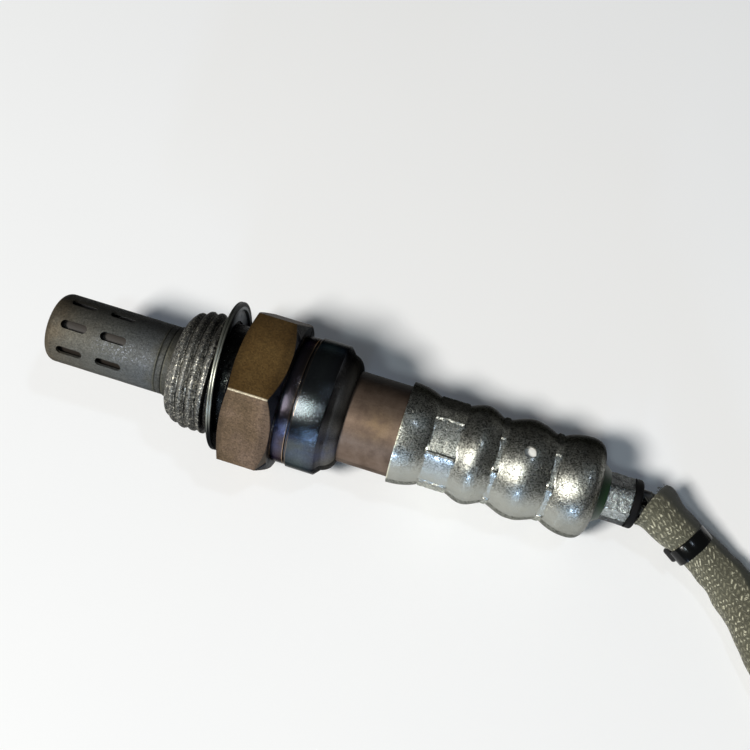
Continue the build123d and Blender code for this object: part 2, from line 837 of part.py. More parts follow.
# ---- cable tie round the sleeve -----------------------------------------------------
tie_dir = (route[2] - route[1]).normalized()
tie_middle = (route[1] + route[2]) / 2
tie_plane = Plane(origin=tie_middle - tie_dir * tie_width / 2, x_dir=back, z_dir=tie_dir)
with BuildPart() as cable_tie:
    with BuildSketch(tie_plane):
        tie_r = braid_r + 3 * slip
        Circle(tie_r + tie_thickness)
        with Locations((-tie_r - tie_head[0] / 2 + slip, -tie_r / 2)):
            RectangleRounded(tie_head[0], tie_head[1], tie_thickness / 2)
        Circle(tie_r, mode=Mode.SUBTRACT)
    extrude(amount=tie_width)
cable_tie.part.label = "cable_tie"
export_step(cable_tie.part, "parts/cable_tie.step")

# ---- plug ---------------------------------------------------------------------------
plug_side = Vector(-plug_dir.Y, plug_dir.X, 0)
plug_up = Vector(0, 0, 1)
plug_rear = braid_end + plug_dir * plug_wire


def plug_cross(distance):
    """The plane square to the plug's axis, at a distance from its rear face."""
    return Plane(origin=plug_rear + plug_dir * distance, x_dir=plug_side, z_dir=plug_dir)


seal_size = (plug_width - 2 * seal_wall, plug_height - 2 * seal_wall)
lock_size = (plug_width - 2 * lock_wall, plug_height - 2 * lock_wall)
with BuildPart() as plug_housing:
    with BuildSketch(plug_cross(0)):
        RectangleRounded(plug_width, plug_height, plug_corner)
    extrude(amount=plug_length)
    with BuildSketch(plug_cross(0)):
        RectangleRounded(plug_width + 2 * collar_step, plug_height + 2 * collar_step, plug_corner)
    extrude(amount=collar_length)
    with BuildSketch(plug_cross(plug_length)):
        with GridLocations(plug_width, rib_pitch, 2, 2):
            Rectangle(2 * rib_height, rib_width)
    extrude(amount=-rib_length)
    with BuildSketch(plug_cross(0)):
        RectangleRounded(*seal_size, plug_corner)
    extrude(amount=seal_pocket, mode=Mode.SUBTRACT)
    with BuildSketch(plug_cross(plug_length)):
        RectangleRounded(*lock_size, plug_corner)
    extrude(amount=-lock_pocket, mode=Mode.SUBTRACT)
    with BuildSketch(plug_cross(0)):
        with GridLocations(cavity_pitch, cavity_pitch, 2, 2):
            Circle(cavity_r)
    extrude(amount=plug_length, mode=Mode.SUBTRACT)
    side_plane = Plane(
        origin=plug_rear - plug_side * latch_width / 2,
        x_dir=plug_dir,
        z_dir=plug_side,
    )
    with BuildSketch(side_plane):
        with BuildLine():
            top = plug_height / 2
            latch_start = (plug_length - latch_length) / 2
            latch_end = latch_start + latch_length
            arm = top + latch_gap
            thumb_start = latch_start - latch_thickness
            thumb_end = latch_start + latch_thickness
            Polyline(
                (latch_end, -(top - slip)),
                (latch_end, -(arm + latch_thickness)),
                (thumb_end, -(arm + latch_thickness)),
                (latch_start, -(arm + latch_thickness + latch_thumb)),
                (thumb_start, -(arm + latch_thickness)),
                (thumb_start, -arm),
                (latch_end - latch_foot, -arm),
                (latch_end - latch_foot, -(top - slip)),
                close=True,
            )
        make_face()
    extrude(amount=latch_width)
plug_housing.part.label = "plug_housing"
export_step(plug_housing.part, "parts/plug_housing.step")

with BuildPart() as wire_seal:
    with BuildSketch(plug_cross(0)):
        RectangleRounded(seal_size[0] - 2 * slip, seal_size[1] - 2 * slip, plug_corner)
        with GridLocations(cavity_pitch, cavity_pitch, 2, 2):
            Circle(wire_r + slip, mode=Mode.SUBTRACT)
    extrude(amount=seal_length)
wire_seal.part.label = "wire_seal"
export_step(wire_seal.part, "parts/wire_seal.step")

with BuildPart() as terminal_lock:
    with BuildSketch(plug_cross(plug_length - lock_length)):
        RectangleRounded(lock_size[0] - 2 * slip, lock_size[1] - 2 * slip, plug_corner)
        with GridLocations(cavity_pitch, cavity_pitch, 2, 2):
            Rectangle(*lock_slot, mode=Mode.SUBTRACT)
    extrude(amount=lock_length)
terminal_lock.part.label = "terminal_lock"
export_step(terminal_lock.part, "parts/terminal_lock.step")

with BuildPart() as plug_terminals:
    terminal_front = plug_length - lock_pocket - loose
    with BuildSketch(plug_cross(terminal_front)):
        with GridLocations(cavity_pitch, cavity_pitch, 2, 2):
            Rectangle(terminal_side, terminal_side)
            inside = terminal_side - 2 * terminal_wall
            Rectangle(inside, inside, mode=Mode.SUBTRACT)
    extrude(amount=-terminal_length)
plug_terminals.part.label = "plug_terminals"
export_step(plug_terminals.part, "parts/plug_terminals.step")

# ---- wires between the sleeve and the plug ------------------------------------------
fan = plug_wire / 4
wire_inside = plug_length - lock_pocket - loose - terminal_length
for number, (across, upward) in enumerate(wire_sides):
    spread = wire_circle_r * cos(radians(45))

    def wire_point(distance, offset):
        """A point of this wire, at a distance from the end of the sleeve."""
        middle = braid_end + plug_dir * distance
        return middle + plug_side * across * offset + plug_up * upward * offset

    wire_route = [
        wire_point(0, spread),
        wire_point(fan, spread),
        wire_point(plug_wire - fan, cavity_pitch / 2),
        wire_point(plug_wire + wire_inside, cavity_pitch / 2),
    ]
    with BuildPart() as plug_wire_part:
        with BuildLine():
            FilletPolyline(*wire_route, radius=bend_radii(wire_route))
        with BuildSketch(Plane(origin=wire_route[0], z_dir=plug_dir)):
            Circle(wire_r)
        sweep()
    name = f"plug_wire_{number + 1}"
    plug_wire_part.part.label = name
    export_step(plug_wire_part.part, f"parts/{name}.step")
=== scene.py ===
import json
import random
from math import asin, atan2, ceil, cos, degrees, exp, hypot, pi, radians, sin, tau

import bpy
from mathutils import Matrix, Vector, noise


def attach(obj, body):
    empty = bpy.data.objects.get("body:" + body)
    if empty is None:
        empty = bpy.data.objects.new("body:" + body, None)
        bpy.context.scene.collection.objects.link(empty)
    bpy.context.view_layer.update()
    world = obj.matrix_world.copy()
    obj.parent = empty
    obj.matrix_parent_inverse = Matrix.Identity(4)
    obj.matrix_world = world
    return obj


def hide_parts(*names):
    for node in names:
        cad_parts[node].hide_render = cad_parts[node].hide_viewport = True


# The looks of a heated exhaust oxygen sensor that lies on a pale floor.
# Sensor pieces are modelled in millimetres along the X axis, where x is the station
# from the hexagon's front face towards the cable, y the back and z the top, and are
# then seated on the leaning sensor.

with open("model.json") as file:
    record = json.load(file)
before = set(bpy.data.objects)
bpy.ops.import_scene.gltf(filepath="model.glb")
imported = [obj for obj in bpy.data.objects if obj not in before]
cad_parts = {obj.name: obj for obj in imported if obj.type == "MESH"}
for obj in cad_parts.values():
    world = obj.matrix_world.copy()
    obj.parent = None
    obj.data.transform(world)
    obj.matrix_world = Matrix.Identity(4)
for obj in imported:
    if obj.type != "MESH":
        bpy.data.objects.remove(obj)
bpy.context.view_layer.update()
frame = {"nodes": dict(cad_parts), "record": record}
bpy.ops.object.select_all(action="DESELECT")

MM = 0.001


# ---- the sensor's own frame
thread_mount = next(m for m in frame["record"]["mounts"] if m["name"] == "thread")
thread_middle = -5.0  # station of the thread's mount
along = -Vector(thread_mount["axis"])
lean = asin(-along.z)
station_zero = Vector(thread_mount["pos_m"]) - along * thread_middle * MM
SENSOR = Matrix.Translation(station_zero) @ Matrix.Rotation(lean, 4, "Y") @ Matrix.Scale(MM, 4)


def at(station):
    """The point of the sensor's axis at a station, in metres."""
    return SENSOR @ Vector((station, 0, 0))


# ---- camera
camera_place = (0.026039, -0.064563, 0.154902)
camera_azimuth = 18.362
camera_elevation = 62.261
camera_roll = -1.325
camera_lens = 51.84

camera = bpy.data.objects.new("camera", bpy.data.cameras.new("camera"))
camera.data.lens = camera_lens
camera.data.clip_start = 0.01
camera.matrix_world = (
    Matrix.Translation(camera_place)
    @ Matrix.Rotation(radians(camera_azimuth), 4, "Z")
    @ Matrix.Rotation(radians(90 - camera_elevation), 4, "X")
    @ Matrix.Rotation(radians(camera_roll), 4, "Z")
)
bpy.context.scene.collection.objects.link(camera)
bpy.context.scene.camera = camera


# ---- braided sleeve: route, section and wrinkles
wire_end = 62.0  # station where the wires enter the sleeve
sleeve_height = 4.4
sleeve_lie = sleeve_height / 2 + 0.1  # height of its middle on the floor
sleeve_hand_points = [
    (46.9, 0.75, 6.35),
    (49.25, -0.7, 5.6),
    (51.95, -1.8, 4.6),
    (54.7, -3.15, 3.8),
    (56.85, -4.3, 3.1),
    (59.3, -5.85, 2.7),
    (61.8, -8.5, sleeve_lie),
    (64.15, -11.0, sleeve_lie),
    (65.9, -13.7, sleeve_lie),
    (70.4, -19.6, sleeve_lie),
]
loop_radius = 38.5
loop_centre = (108.5, -1.2)
loop_from = 220.0
loop_arc = 300.0
hook_radius = 21.0
hook_arc = 120.0
bend_step = 30.0
plug_heading = 12.0
plug_run = 8.0
last_corner = (99.7, -15.1, 6.9)


def polar(radius, angle, centre=(0, 0)):
    """The point this far from a centre, at an angle in degrees."""
    way = (cos(radians(angle)), sin(radians(angle)))
    return [place + radius * part for place, part in zip(centre, way)]


def bend(centre, radius, start, sweep, heights):
    """Corner points that go round a circle, one for each height."""
    step = sweep / len(heights)
    corner_radius = radius / cos(radians(step / 2))
    points = []
    for n, height in enumerate(heights):
        angle = start + (n + 0.5) * step
        points.append(Vector((*polar(corner_radius, angle, centre), height)))
    return points


def sleeve_route():
    """The control points of the sleeve's line, in millimetres."""
    hook_from = loop_from + loop_arc
    shift = loop_radius - hook_radius
    hook_centre = polar(shift, hook_from, loop_centre)
    loop_heights = [sleeve_lie] * round(loop_arc / bend_step)
    hook_heights = [sleeve_lie, sleeve_lie, 3.0, 4.7]
    end = Vector(last_corner) + Vector((*polar(plug_run, plug_heading), 0))
    route = [at(wire_end) / MM]
    route += [Vector(point) for point in sleeve_hand_points]
    route += bend(loop_centre, loop_radius, loop_from, loop_arc, loop_heights)
    route += bend(hook_centre, hook_radius, hook_from, hook_arc, hook_heights)
    return route + [Vector(last_corner), end]


def add_spline(curve, points, resolution):
    """A smooth line in a curve, with control points in millimetres."""
    spline = curve.splines.new("NURBS")
    spline.points.add(len(points) - 1)
    for point, place in zip(spline.points, points):
        point.co = (*(place * MM), 1)
    spline.order_u = 3
    spline.use_endpoint_u = True
    spline.resolution_u = resolution


def smooth_line(points, resolution):
    """Points along the smooth line that these control points give, in metres."""
    curve = bpy.data.curves.new("sleeve_line", "CURVE")
    curve.dimensions = "3D"
    add_spline(curve, points, resolution)
    holder = bpy.data.objects.new("sleeve_line", curve)
    bpy.context.scene.collection.objects.link(holder)
    bpy.context.view_layer.update()
    mesh = bpy.data.meshes.new_from_object(
        holder.evaluated_get(bpy.context.evaluated_depsgraph_get())
    )
    line = [vertex.co.copy() for vertex in mesh.vertices]
    bpy.data.objects.remove(holder)
    bpy.data.meshes.remove(mesh)
    return line


def even_steps(line, step):
    """The same line with its points a step apart, and their distances."""
    places, distances = [line[0]], [0.0]
    gone, wanted = 0.0, step
    for a, b in zip(line, line[1:]):
        length = (b - a).length
        while gone + length >= wanted:
            places.append(a.lerp(b, (wanted - gone) / length))
            distances.append(wanted)
            wanted += step
        gone += length
    return places, distances


line_step = 0.5
sleeve_line, sleeve_distances = even_steps(smooth_line(sleeve_route(), 40), line_step * MM)


# ---- modelling by hand
def modify(piece, kind, **settings):
    """Add a modifier to a piece, set it and apply it."""
    modifier = piece.modifiers.new(kind.lower(), kind)
    for name, value in settings.items():
        setattr(modifier, name, value)
    bpy.context.view_layer.objects.active = piece
    bpy.ops.object.modifier_apply(modifier=modifier.name)


def close_up(reach):
    """Leave edit mode with points this near each other joined and faces outwards."""
    bpy.ops.mesh.select_all(action="SELECT")
    bpy.ops.mesh.remove_doubles(threshold=reach)
    bpy.ops.mesh.normals_make_consistent(inside=False)
    bpy.ops.object.mode_set(mode="OBJECT")


def turned(name, outline, around):
    """A piece turned about the X axis: a ring carried from corner to corner of its outline."""
    station, radius = outline[0]
    bpy.ops.mesh.primitive_circle_add(
        vertices=around, radius=radius, location=(station, 0, 0), rotation=(0, pi / 2, 0)
    )
    bpy.ops.object.transform_apply(location=True, rotation=True)
    piece = bpy.context.object
    piece.name = name
    bpy.ops.object.mode_set(mode="EDIT")
    for next_station, next_radius in outline[1:]:
        bpy.ops.mesh.extrude_region_move(
            TRANSFORM_OT_translate={"value": (next_station - station, 0, 0)}
        )
        size = next_radius / radius
        bpy.ops.transform.resize(value=(1, size, size), center_override=(next_station, 0, 0))
        station, radius = next_station, next_radius
    close_up(0.0005)
    return piece


def bow(start, end, height, steps):
    """Points of the round arc from one corner to the next that stands this far off its chord."""
    start, end = Vector(start), Vector(end)
    half = (end - start) / 2
    side = Vector((-half.y, half.x)).normalized()
    radius = (half.length_squared + height**2) / (2 * height)
    reach = asin(min(1.0, half.length / abs(radius)))
    centre = (start + end) / 2 + side * (height - radius)
    points = []
    for n in range(steps + 1):
        angle = reach * (1 - 2 * n / steps)
        points.append(centre - half.normalized() * radius * sin(angle) + side * radius * cos(angle))
    return [tuple(point) for point in points]


def smooth(piece, angle):
    """Shade a piece smooth, with its edges sharp past an angle."""
    bpy.ops.object.select_all(action="DESELECT")
    piece.select_set(True)
    bpy.context.view_layer.objects.active = piece
    bpy.ops.object.shade_smooth_by_angle(angle=radians(angle))
    piece.select_set(False)


def finished(piece, slot, replaced, place=SENSOR, finish=None):
    """Seat a piece, give it its own finish or its slot's, and let it ride with the sensor."""
    piece.data.transform(place)
    piece.data.update()
    piece.data.materials.clear()
    piece.data.materials.append(finish or finishes[slot])
    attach(piece, "root")
    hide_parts(*replaced)


# ---- finishes
def rgb(red, green, blue):
    """A colour as it shows on a screen, from 0 to 255, as the shader needs it."""
    levels = [channel / 255 for channel in (red, green, blue)]
    linear = [
        level / 12.92 if level <= 0.04045 else ((level + 0.055) / 1.055) ** 2.4
        for level in levels
    ]
    return (*linear, 1.0)


def operation(kind, swapped=False):
    """A method that adds this Math node to a signal, with another signal or a number."""

    def method(self, other=0.0):
        first, second = (other, self) if swapped else (self, other)
        return self.finish.node("ShaderNodeMath", {"operation": kind}, {0: first, 1: second})

    return method


class Signal:
    """An output of a shader node. Arithmetic on it adds Math nodes."""

    def __init__(self, finish, socket):
        self.finish = finish
        self.socket = socket

    __add__ = __radd__ = operation("ADD")
    __sub__ = operation("SUBTRACT")
    __rsub__ = operation("SUBTRACT", swapped=True)
    __mul__ = __rmul__ = operation("MULTIPLY")
    __truediv__ = operation("DIVIDE")
    __pow__ = operation("POWER")
    size = operation("ABSOLUTE")
    fraction = operation("FRACT")
    whole = operation("FLOOR")
    sine = operation("SINE")
    arctan2 = operation("ARCTAN2")
    largest = operation("MAXIMUM")
    smallest = operation("MINIMUM")

    def rise(self, low, high):
        """0 below one value, 1 above the other, and smooth between."""
        settings = {"interpolation_type": "SMOOTHSTEP", "clamp": True}
        return self.finish.node("ShaderNodeMapRange", settings, {0: self, 1: low, 2: high})

    def near(self, middle, reach):
        """1 at a value, falling to 0 at this distance from it."""
        return 1 - (self - middle).size().rise(0.0, reach)


class Finish:
    """A material, built from nodes."""

    def __init__(self, name, **fixed):
        self.material = bpy.data.materials.new(name)
        self.material.use_nodes = True
        self.tree = self.material.node_tree
        self.shader = self.tree.nodes["Principled BSDF"]
        for socket, value in fixed.items():
            self.shader.inputs[socket.replace("_", " ").title()].default_value = value

    def node(self, kind, settings=None, inputs=None, output=0):
        made = self.tree.nodes.new(kind)
        for name, value in (settings or {}).items():
            setattr(made, name, value)
        for key, value in (inputs or {}).items():
            if isinstance(value, Signal):
                self.tree.links.new(value.socket, made.inputs[key])
            else:
                made.inputs[key].default_value = value
        if isinstance(output, tuple):
            return [Signal(self, made.outputs[name]) for name in output]
        return Signal(self, made.outputs[output])

    def millimetres(self):
        """Object coordinates in millimetres."""
        place = self.node("ShaderNodeTexCoord", output="Object")
        inputs = {0: place, "Scale": 1 / MM}
        return self.node("ShaderNodeVectorMath", {"operation": "SCALE"}, inputs)

    def sensor(self):
        """Station, back and top in millimetres, along the leaning sensor."""
        place = self.node("ShaderNodeTexCoord", output="Object")
        turn = {"Location": station_zero, "Rotation": (0, lean, 0), "Scale": (MM, MM, MM)}
        return self.node("ShaderNodeMapping", {"vector_type": "TEXTURE"}, {0: place, **turn})

    def along(self):
        """The place on the sensor, its station and its angle."""
        place = self.sensor()
        return place, self.split(place)[0], self.angle(place)

    def split(self, vector):
        return self.node("ShaderNodeSeparateXYZ", None, {0: vector}, ("X", "Y", "Z"))

    def angle(self, vector):
        """Degrees round the sensor's axis, from the back towards the top."""
        _, back, top = self.split(vector)
        return top.arctan2(back) * (360 / tau)

    def radius(self, vector):
        """Millimetres from the sensor's axis."""
        _, back, top = self.split(vector)
        return (back * back + top * top) ** 0.5

    def stretched(self, vector, *scales):
        inputs = {0: vector, 1: Vector(scales)}
        return self.node("ShaderNodeVectorMath", {"operation": "MULTIPLY"}, inputs)

    def noise(self, vector, scale, detail, roughness):
        inputs = {"Vector": vector, "Scale": scale, "Detail": detail, "Roughness": roughness}
        return self.node("ShaderNodeTexNoise", None, inputs, "Fac")

    def grains(self, vector, scale):
        """A random level for each small cell."""
        inputs = {"Vector": vector, "Scale": scale}
        cells = self.node("ShaderNodeTexVoronoi", None, inputs, "Color")
        return self.node("ShaderNodeSeparateColor", None, {0: cells}, "Red")

    def ramp(self, signal, *stops):
        """Colours in turn, each at its own level of the signal."""
        made = self.node("ShaderNodeValToRGB", None, {0: signal})
        elements = made.socket.node.color_ramp.elements
        while len(elements) < len(stops):
            elements.new(1.0)
        for element, (level, *shade) in zip(elements, stops):
            element.position = level
            element.color = rgb(*shade)
        return made

    def mix(self, factor, first, second):
        inputs = {0: factor, 6: first, 7: second}
        return self.node("ShaderNodeMix", {"data_type": "RGBA"}, inputs, 2)

    def shaded(self, shade, level):
        """A colour made darker or lighter by a level round 1."""
        grey = self.node("ShaderNodeCombineColor", None, {0: level, 1: level, 2: level})
        settings = {"data_type": "RGBA", "blend_type": "MULTIPLY"}
        return self.node("ShaderNodeMix", settings, {0: 1.0, 6: shade, 7: grey}, 2)

    def bump(self, height, depth, strength):
        """A bumped normal, for a height from 0 to 1 that stands for a depth in millimetres."""
        inputs = {"Height": height, "Distance": depth * MM, "Strength": strength}
        return self.node("ShaderNodeBump", None, inputs)

    def surface(self, shade, tone=None, **sockets):
        """Link what varies to the shader and give the material."""
        sockets["base_color"] = shade if tone is None else self.shaded(shade, tone)
        for socket, value in sockets.items():
            target = self.shader.inputs[socket.replace("_", " ").title()]
            if isinstance(value, Signal):
                self.tree.links.new(value.socket, target)
            else:
                target.default_value = value
        return self.material


dim_edge = (0.3, 0.3, 0.3, 1)


# Where a finish is lighter or darker on one side of the sensor, that shading is painted.
def dark_back(finish, place):
    """1 on the sensor's back, which the finishes paint darker than its front."""
    _, back, _ = finish.split(place)
    return (back / finish.radius(place)).rise(0.0, 0.62)


shroud_tip = -29.8
weld_seams = (-12.2, -10.95)


def shroud_steel():
    """Drawn stainless sheet, dulled by exhaust gas: brown at the tip, blue-grey by the weld."""
    finish = Finish("shroud_steel", specular_tint=dim_edge)
    place, station, angle = finish.along()
    patches = finish.noise(place, 0.35, 4.0, 0.6)
    soot = finish.noise(place, 2.2, 4.0, 0.75)
    heat = finish.ramp(
        (station - shroud_tip) / 20 + (patches - 0.5) * 0.35,
        (0.0, 108, 98, 82),
        (0.22, 108, 105, 96),
        (0.5, 107, 108, 104),
        (0.8, 103, 106, 107),
        (1.0, 98, 96, 86),
    )
    fine = finish.noise(place, 4.6, 3.0, 0.9)
    grit = finish.grains(place, 5.0)
    dark = dark_back(finish, place)
    # Painted highlight: light specks round one angle, in the middle of the shroud.
    painted_glints = finish.grains(place, 6.2).rise(0.8, 0.97)
    painted_glints = painted_glints * angle.near(123.0, 26.0) * station.near(-17.0, 7.0)
    heat = finish.mix(painted_glints * 0.6, heat, rgb(186, 192, 204))
    weld = sum(station.near(seam, 0.2) for seam in weld_seams)
    heat = finish.mix(weld.smallest(1.0) * 0.22, heat, rgb(170, 165, 130))
    welded = station.rise(-12.6, -12.3) * 0.2
    tone = 0.05 + soot * 0.5 + fine * 1.05 + (grit - 0.5) * 0.35
    # Painted shade: darker on the back and on the upper side.
    tone = tone * (1 - dark * 0.75) * (1 - angle.rise(140.0, 112.0) * 0.2) * (1 - welded)
    normal = finish.bump(fine * 0.6 + grit * 0.4, 0.12, 0.8)
    return finish.surface(heat, tone, roughness=0.5 + soot * 0.14, metallic=0.72, normal=normal)


thread_pitch = 1.5
thread_depth = 0.52
crest_station = -5.47  # a crest of the thread
crest_angle = 116.3  # where it has that station, in degrees from the back towards the top


def paste():
    """Anti-seize paste full of metal flakes, wiped thin on the crests of the thread."""
    finish = Finish("thread_paste", specular_tint=dim_edge)
    place, station, angle = finish.along()
    clumps = finish.noise(place, 0.9, 3.0, 0.6)
    flakes = finish.grains(place, 6.2)
    chips = finish.grains(place, 2.6)
    fine = finish.noise(place, 5.0, 3.0, 0.85)
    wander = (finish.noise(place, 0.6, 3.0, 0.6) - 0.5) * 0.26
    turn = (station - crest_station) / thread_pitch - (angle - crest_angle) / 360 + wander
    groove = turn.fraction()
    oil = station.rise(-3.7, -3.3)
    coated = (1 - oil) * station.rise(-9.2, -8.6)
    # Painted shade: a dark line along the groove. Painted highlight: a bright line beside it on
    # each crest.
    line = groove.near(0.54, 0.1) * clumps.rise(0.32, 0.42) * coated
    ridge = groove.near(0.43, 0.05) * clumps.rise(0.45, 0.6) * coated
    glint = flakes.rise(0.75, 0.97)
    pit = (flakes.rise(0.22, 0.08) + chips.rise(0.07, 0.03)).smallest(1.0)
    # Painted light: lighter round one angle on the near side.
    painted_light = angle.near(124.0, 38.0)
    tone = 0.2 + fine * 1.0 + (clumps - 0.5) * 0.35 + glint * 1.1 + ridge * 0.4 + painted_light * 0.3
    # Painted shade: darker towards the top, on the back and low on the near side.
    tone = tone * (1 - pit * 0.75) * (1 - line * 0.9) * (1 - angle.rise(112.0, 70.0) * 0.4)
    tone = tone * (1 - dark_back(finish, place) * 0.7) * (1 - oil * 0.88)
    tone = tone * (1 - angle.rise(138.0, 162.0) * 0.2)
    bright = (glint * 0.6 + ridge * 0.4).smallest(1.0)
    shade = finish.mix(bright, rgb(130, 129, 124), rgb(196, 192, 176))
    height = (fine * 0.4 + flakes * 0.45 + clumps * 0.15 - line * 0.4) * (1 - oil * 0.9)
    normal = finish.bump(height, 0.15, 0.8)
    rough = 0.44 - glint * 0.12 + clumps * 0.1 - oil * 0.15
    return finish.surface(shade, tone, roughness=rough, metallic=0.75 + glint * 0.2, normal=normal)


gasket_station = -2.2
gasket_tilt = 6.0
gasket_low_angle = 206.3
gasket_drift = 0.4
low_side = Vector((0, *polar(1, gasket_low_angle)))
gasket_place = (
    Matrix.Translation(Vector((gasket_station, 0, 0)) - low_side * gasket_drift)
    @ Matrix.Rotation(radians(gasket_tilt), 4, Vector((1, 0, 0)).cross(low_side) * -1)
)


def gasket_steel():
    """Folded steel sheet: worn bright on the rim and dark on its face."""
    finish = Finish("gasket_steel", specular_tint=(0.25, 0.25, 0.25, 1))
    place = finish.sensor()
    level = finish.node(
        "ShaderNodeMapping",
        {"vector_type": "TEXTURE"},
        {0: place, "Location": gasket_place.translation, "Rotation": gasket_place.to_euler()},
    )
    across, _, _ = finish.split(level)
    radius = finish.radius(place)
    angle = finish.angle(place)
    worn = radius.rise(10.9, 11.1)
    seam = across.near(0.02, 0.1) + across.near(0.42, 0.14) + across.near(-0.42, 0.12)
    stain = finish.noise(place, 0.8, 4.0, 0.6)
    film = finish.noise(place, 5.0, 2.0, 0.6)
    # Painted reflection: a pale, less metallic patch high on the rear face.
    painted_reflection = angle.near(30.0, 48.0) * across.rise(-0.2, -0.07) * stain.rise(0.1, 0.5)
    shade = finish.mix(worn, rgb(28, 30, 33), rgb(168, 170, 158))
    shade = finish.mix(painted_reflection, shade, rgb(206, 210, 212))
    # Painted shade: the worn rim is darker on the back and towards the top.
    dim = dark_back(finish, place) * 0.6 + angle.rise(110.0, 80.0) * 0.35
    tone = (0.7 + stain * 0.6) * (1 - dim * worn) * (1 - seam.smallest(1.0) * worn * 0.85)
    normal = finish.bump(film, 0.015, 0.5)
    rough = 0.26 + film * 0.2 + painted_reflection * 0.2
    return finish.surface(shade, tone, roughness=rough, metallic=0.9 - painted_reflection * 0.85, normal=normal)


def hexagon_steel():
    """Six flats with a straw to brown temper colour, between chamfers that are turned and blued."""
    finish = Finish("hexagon_steel", specular_tint=(0.35, 0.35, 0.35, 1))
    place = finish.sensor()
    station, back, top = finish.split(place)
    radius = finish.radius(place)
    angle = finish.angle(place)
    clouds = finish.noise(place, 0.22, 3.0, 0.55)
    fine = finish.noise(place, 4.0, 3.0, 0.85)
    grit = finish.grains(place, 4.4)
    # One tint for each near flat, parted at the corner between them: temper colour, with painted
    # light and shade in the difference.
    olive = finish.ramp(
        clouds, (0.3, 78, 58, 29), (0.5, 90, 69, 38), (0.7, 98, 77, 44)
    )
    dusky = finish.ramp(
        clouds + (station - 3.6) * 0.04,
        (0.3, 96, 79, 59),
        (0.5, 110, 91, 71),
        (0.7, 121, 101, 84),
    )
    shade = finish.mix(angle.rise(119.6, 120.4), olive, dusky)
    sixth = [back * cos(radians(turn)) + top * sin(radians(turn)) for turn in (30, 90, 150)]
    across = sixth[0].size().largest(sixth[1].size()).largest(sixth[2].size())
    flat = across.rise(10.86, 10.95)
    # Wear and painted light: the chamfered corners are worn light, on the near side only.
    worn = (1 - flat) * radius.rise(12.5, 12.62) * angle.rise(100.0, 118.0) * 0.8
    # Painted highlight: a bright line along the corner between the two near flats.
    corner = angle.near(120.0, 1.0) * radius.rise(12.3, 12.5) * flat
    edge_dark = 1 - 0.3 * (station.rise(1.2, 0.2) + station.rise(5.6, 6.6)) * flat
    # Painted shade: darker on the back and low on the near side.
    low = angle.rise(132.0, 160.0)
    dark = (1 - dark_back(finish, place) * (0.9 - flat * 0.4)) * (1.08 - low * 0.16)
    # Blued chamfers, with painted light: lighter and browner low on the near side.
    blued = finish.mix(angle.rise(135.0, 170.0), rgb(34, 37, 46), rgb(100, 90, 80))
    shade = finish.mix(flat, blued, shade)
    shade = finish.mix(worn, shade, rgb(150, 138, 114))
    shade = finish.mix(corner, shade, rgb(240, 226, 196))
    tone = (0.3 + fine * 1.1 + (grit - 0.4) * 0.4 * flat) * edge_dark * dark
    normal = finish.bump(fine * 0.6 + grit * 0.4, 0.07, 0.5)
    rough = 0.3 + flat * 0.24 + fine * 0.1
    return finish.surface(shade, tone, roughness=rough, metallic=0.75 - flat * 0.35, normal=normal)


def blued_steel():
    """Turned steel blued by heat, with purple and straw bands and bright edges."""
    finish = Finish("blued_steel", metallic=1.0, specular_tint=dim_edge)
    place, station, angle = finish.along()
    clouds = finish.noise(place, 0.3, 3.0, 0.55)
    lines = finish.noise(finish.stretched(place, 9.0, 0.25, 0.25), 1.0, 3.0, 0.6)
    fine = finish.noise(place, 5.5, 2.0, 0.9)
    temper = finish.ramp(
        (station - 7.0) / 10.5 + (clouds - 0.5) * 0.05,
        (0.0, 42, 46, 60),
        (0.08, 62, 62, 72),
        (0.15, 84, 79, 88),
        (0.22, 88, 81, 82),
        (0.28, 84, 90, 94),
        (0.48, 96, 104, 106),
        (0.62, 86, 92, 98),
        (0.70, 74, 74, 76),
        (0.84, 112, 110, 106),
        (1.0, 100, 98, 94),
    )
    # Painted reflection: a bluish patch low on the near side.
    blue = angle.near(152.0, 26.0) * clouds.rise(0.3, 0.6)
    temper = finish.mix(blue * 0.4, temper, rgb(62, 76, 120))
    edge = sum(station.near(*corner) for corner in ((7.6, 0.12), (9.5, 0.12), (9.98, 0.1)))
    temper = finish.mix(edge.smallest(1.0) * 0.6, temper, rgb(206, 178, 150))
    # Painted shade: the colour is dulled in two bands round the axis, where two lamps' highlights
    # fall.
    dulled = angle.near(118.0, 13.0) * 0.45 + angle.near(141.0, 9.0) * 0.4
    # Painted shade and light: darker on the back, lighter low on the near side.
    tone = (lines * 0.3 + fine * 1.3) * (1 - dark_back(finish, place) * 0.6)
    tone = tone.largest(0.1) * (1 - dulled) * (1 + angle.rise(148.0, 165.0) * 0.3)
    lip = station.rise(14.1, 14.8)
    # Painted shade: the lip is darker towards the top.
    tone = tone * (1 - lip * angle.rise(112.0, 72.0) * 0.5)
    rough = 0.12 + clouds * 0.04 + fine * 0.06 + lip * 0.32
    normal = finish.bump(lines * 0.4 + fine * 0.6, 0.05, 0.8)
    return finish.surface(temper, tone, roughness=rough, normal=normal)


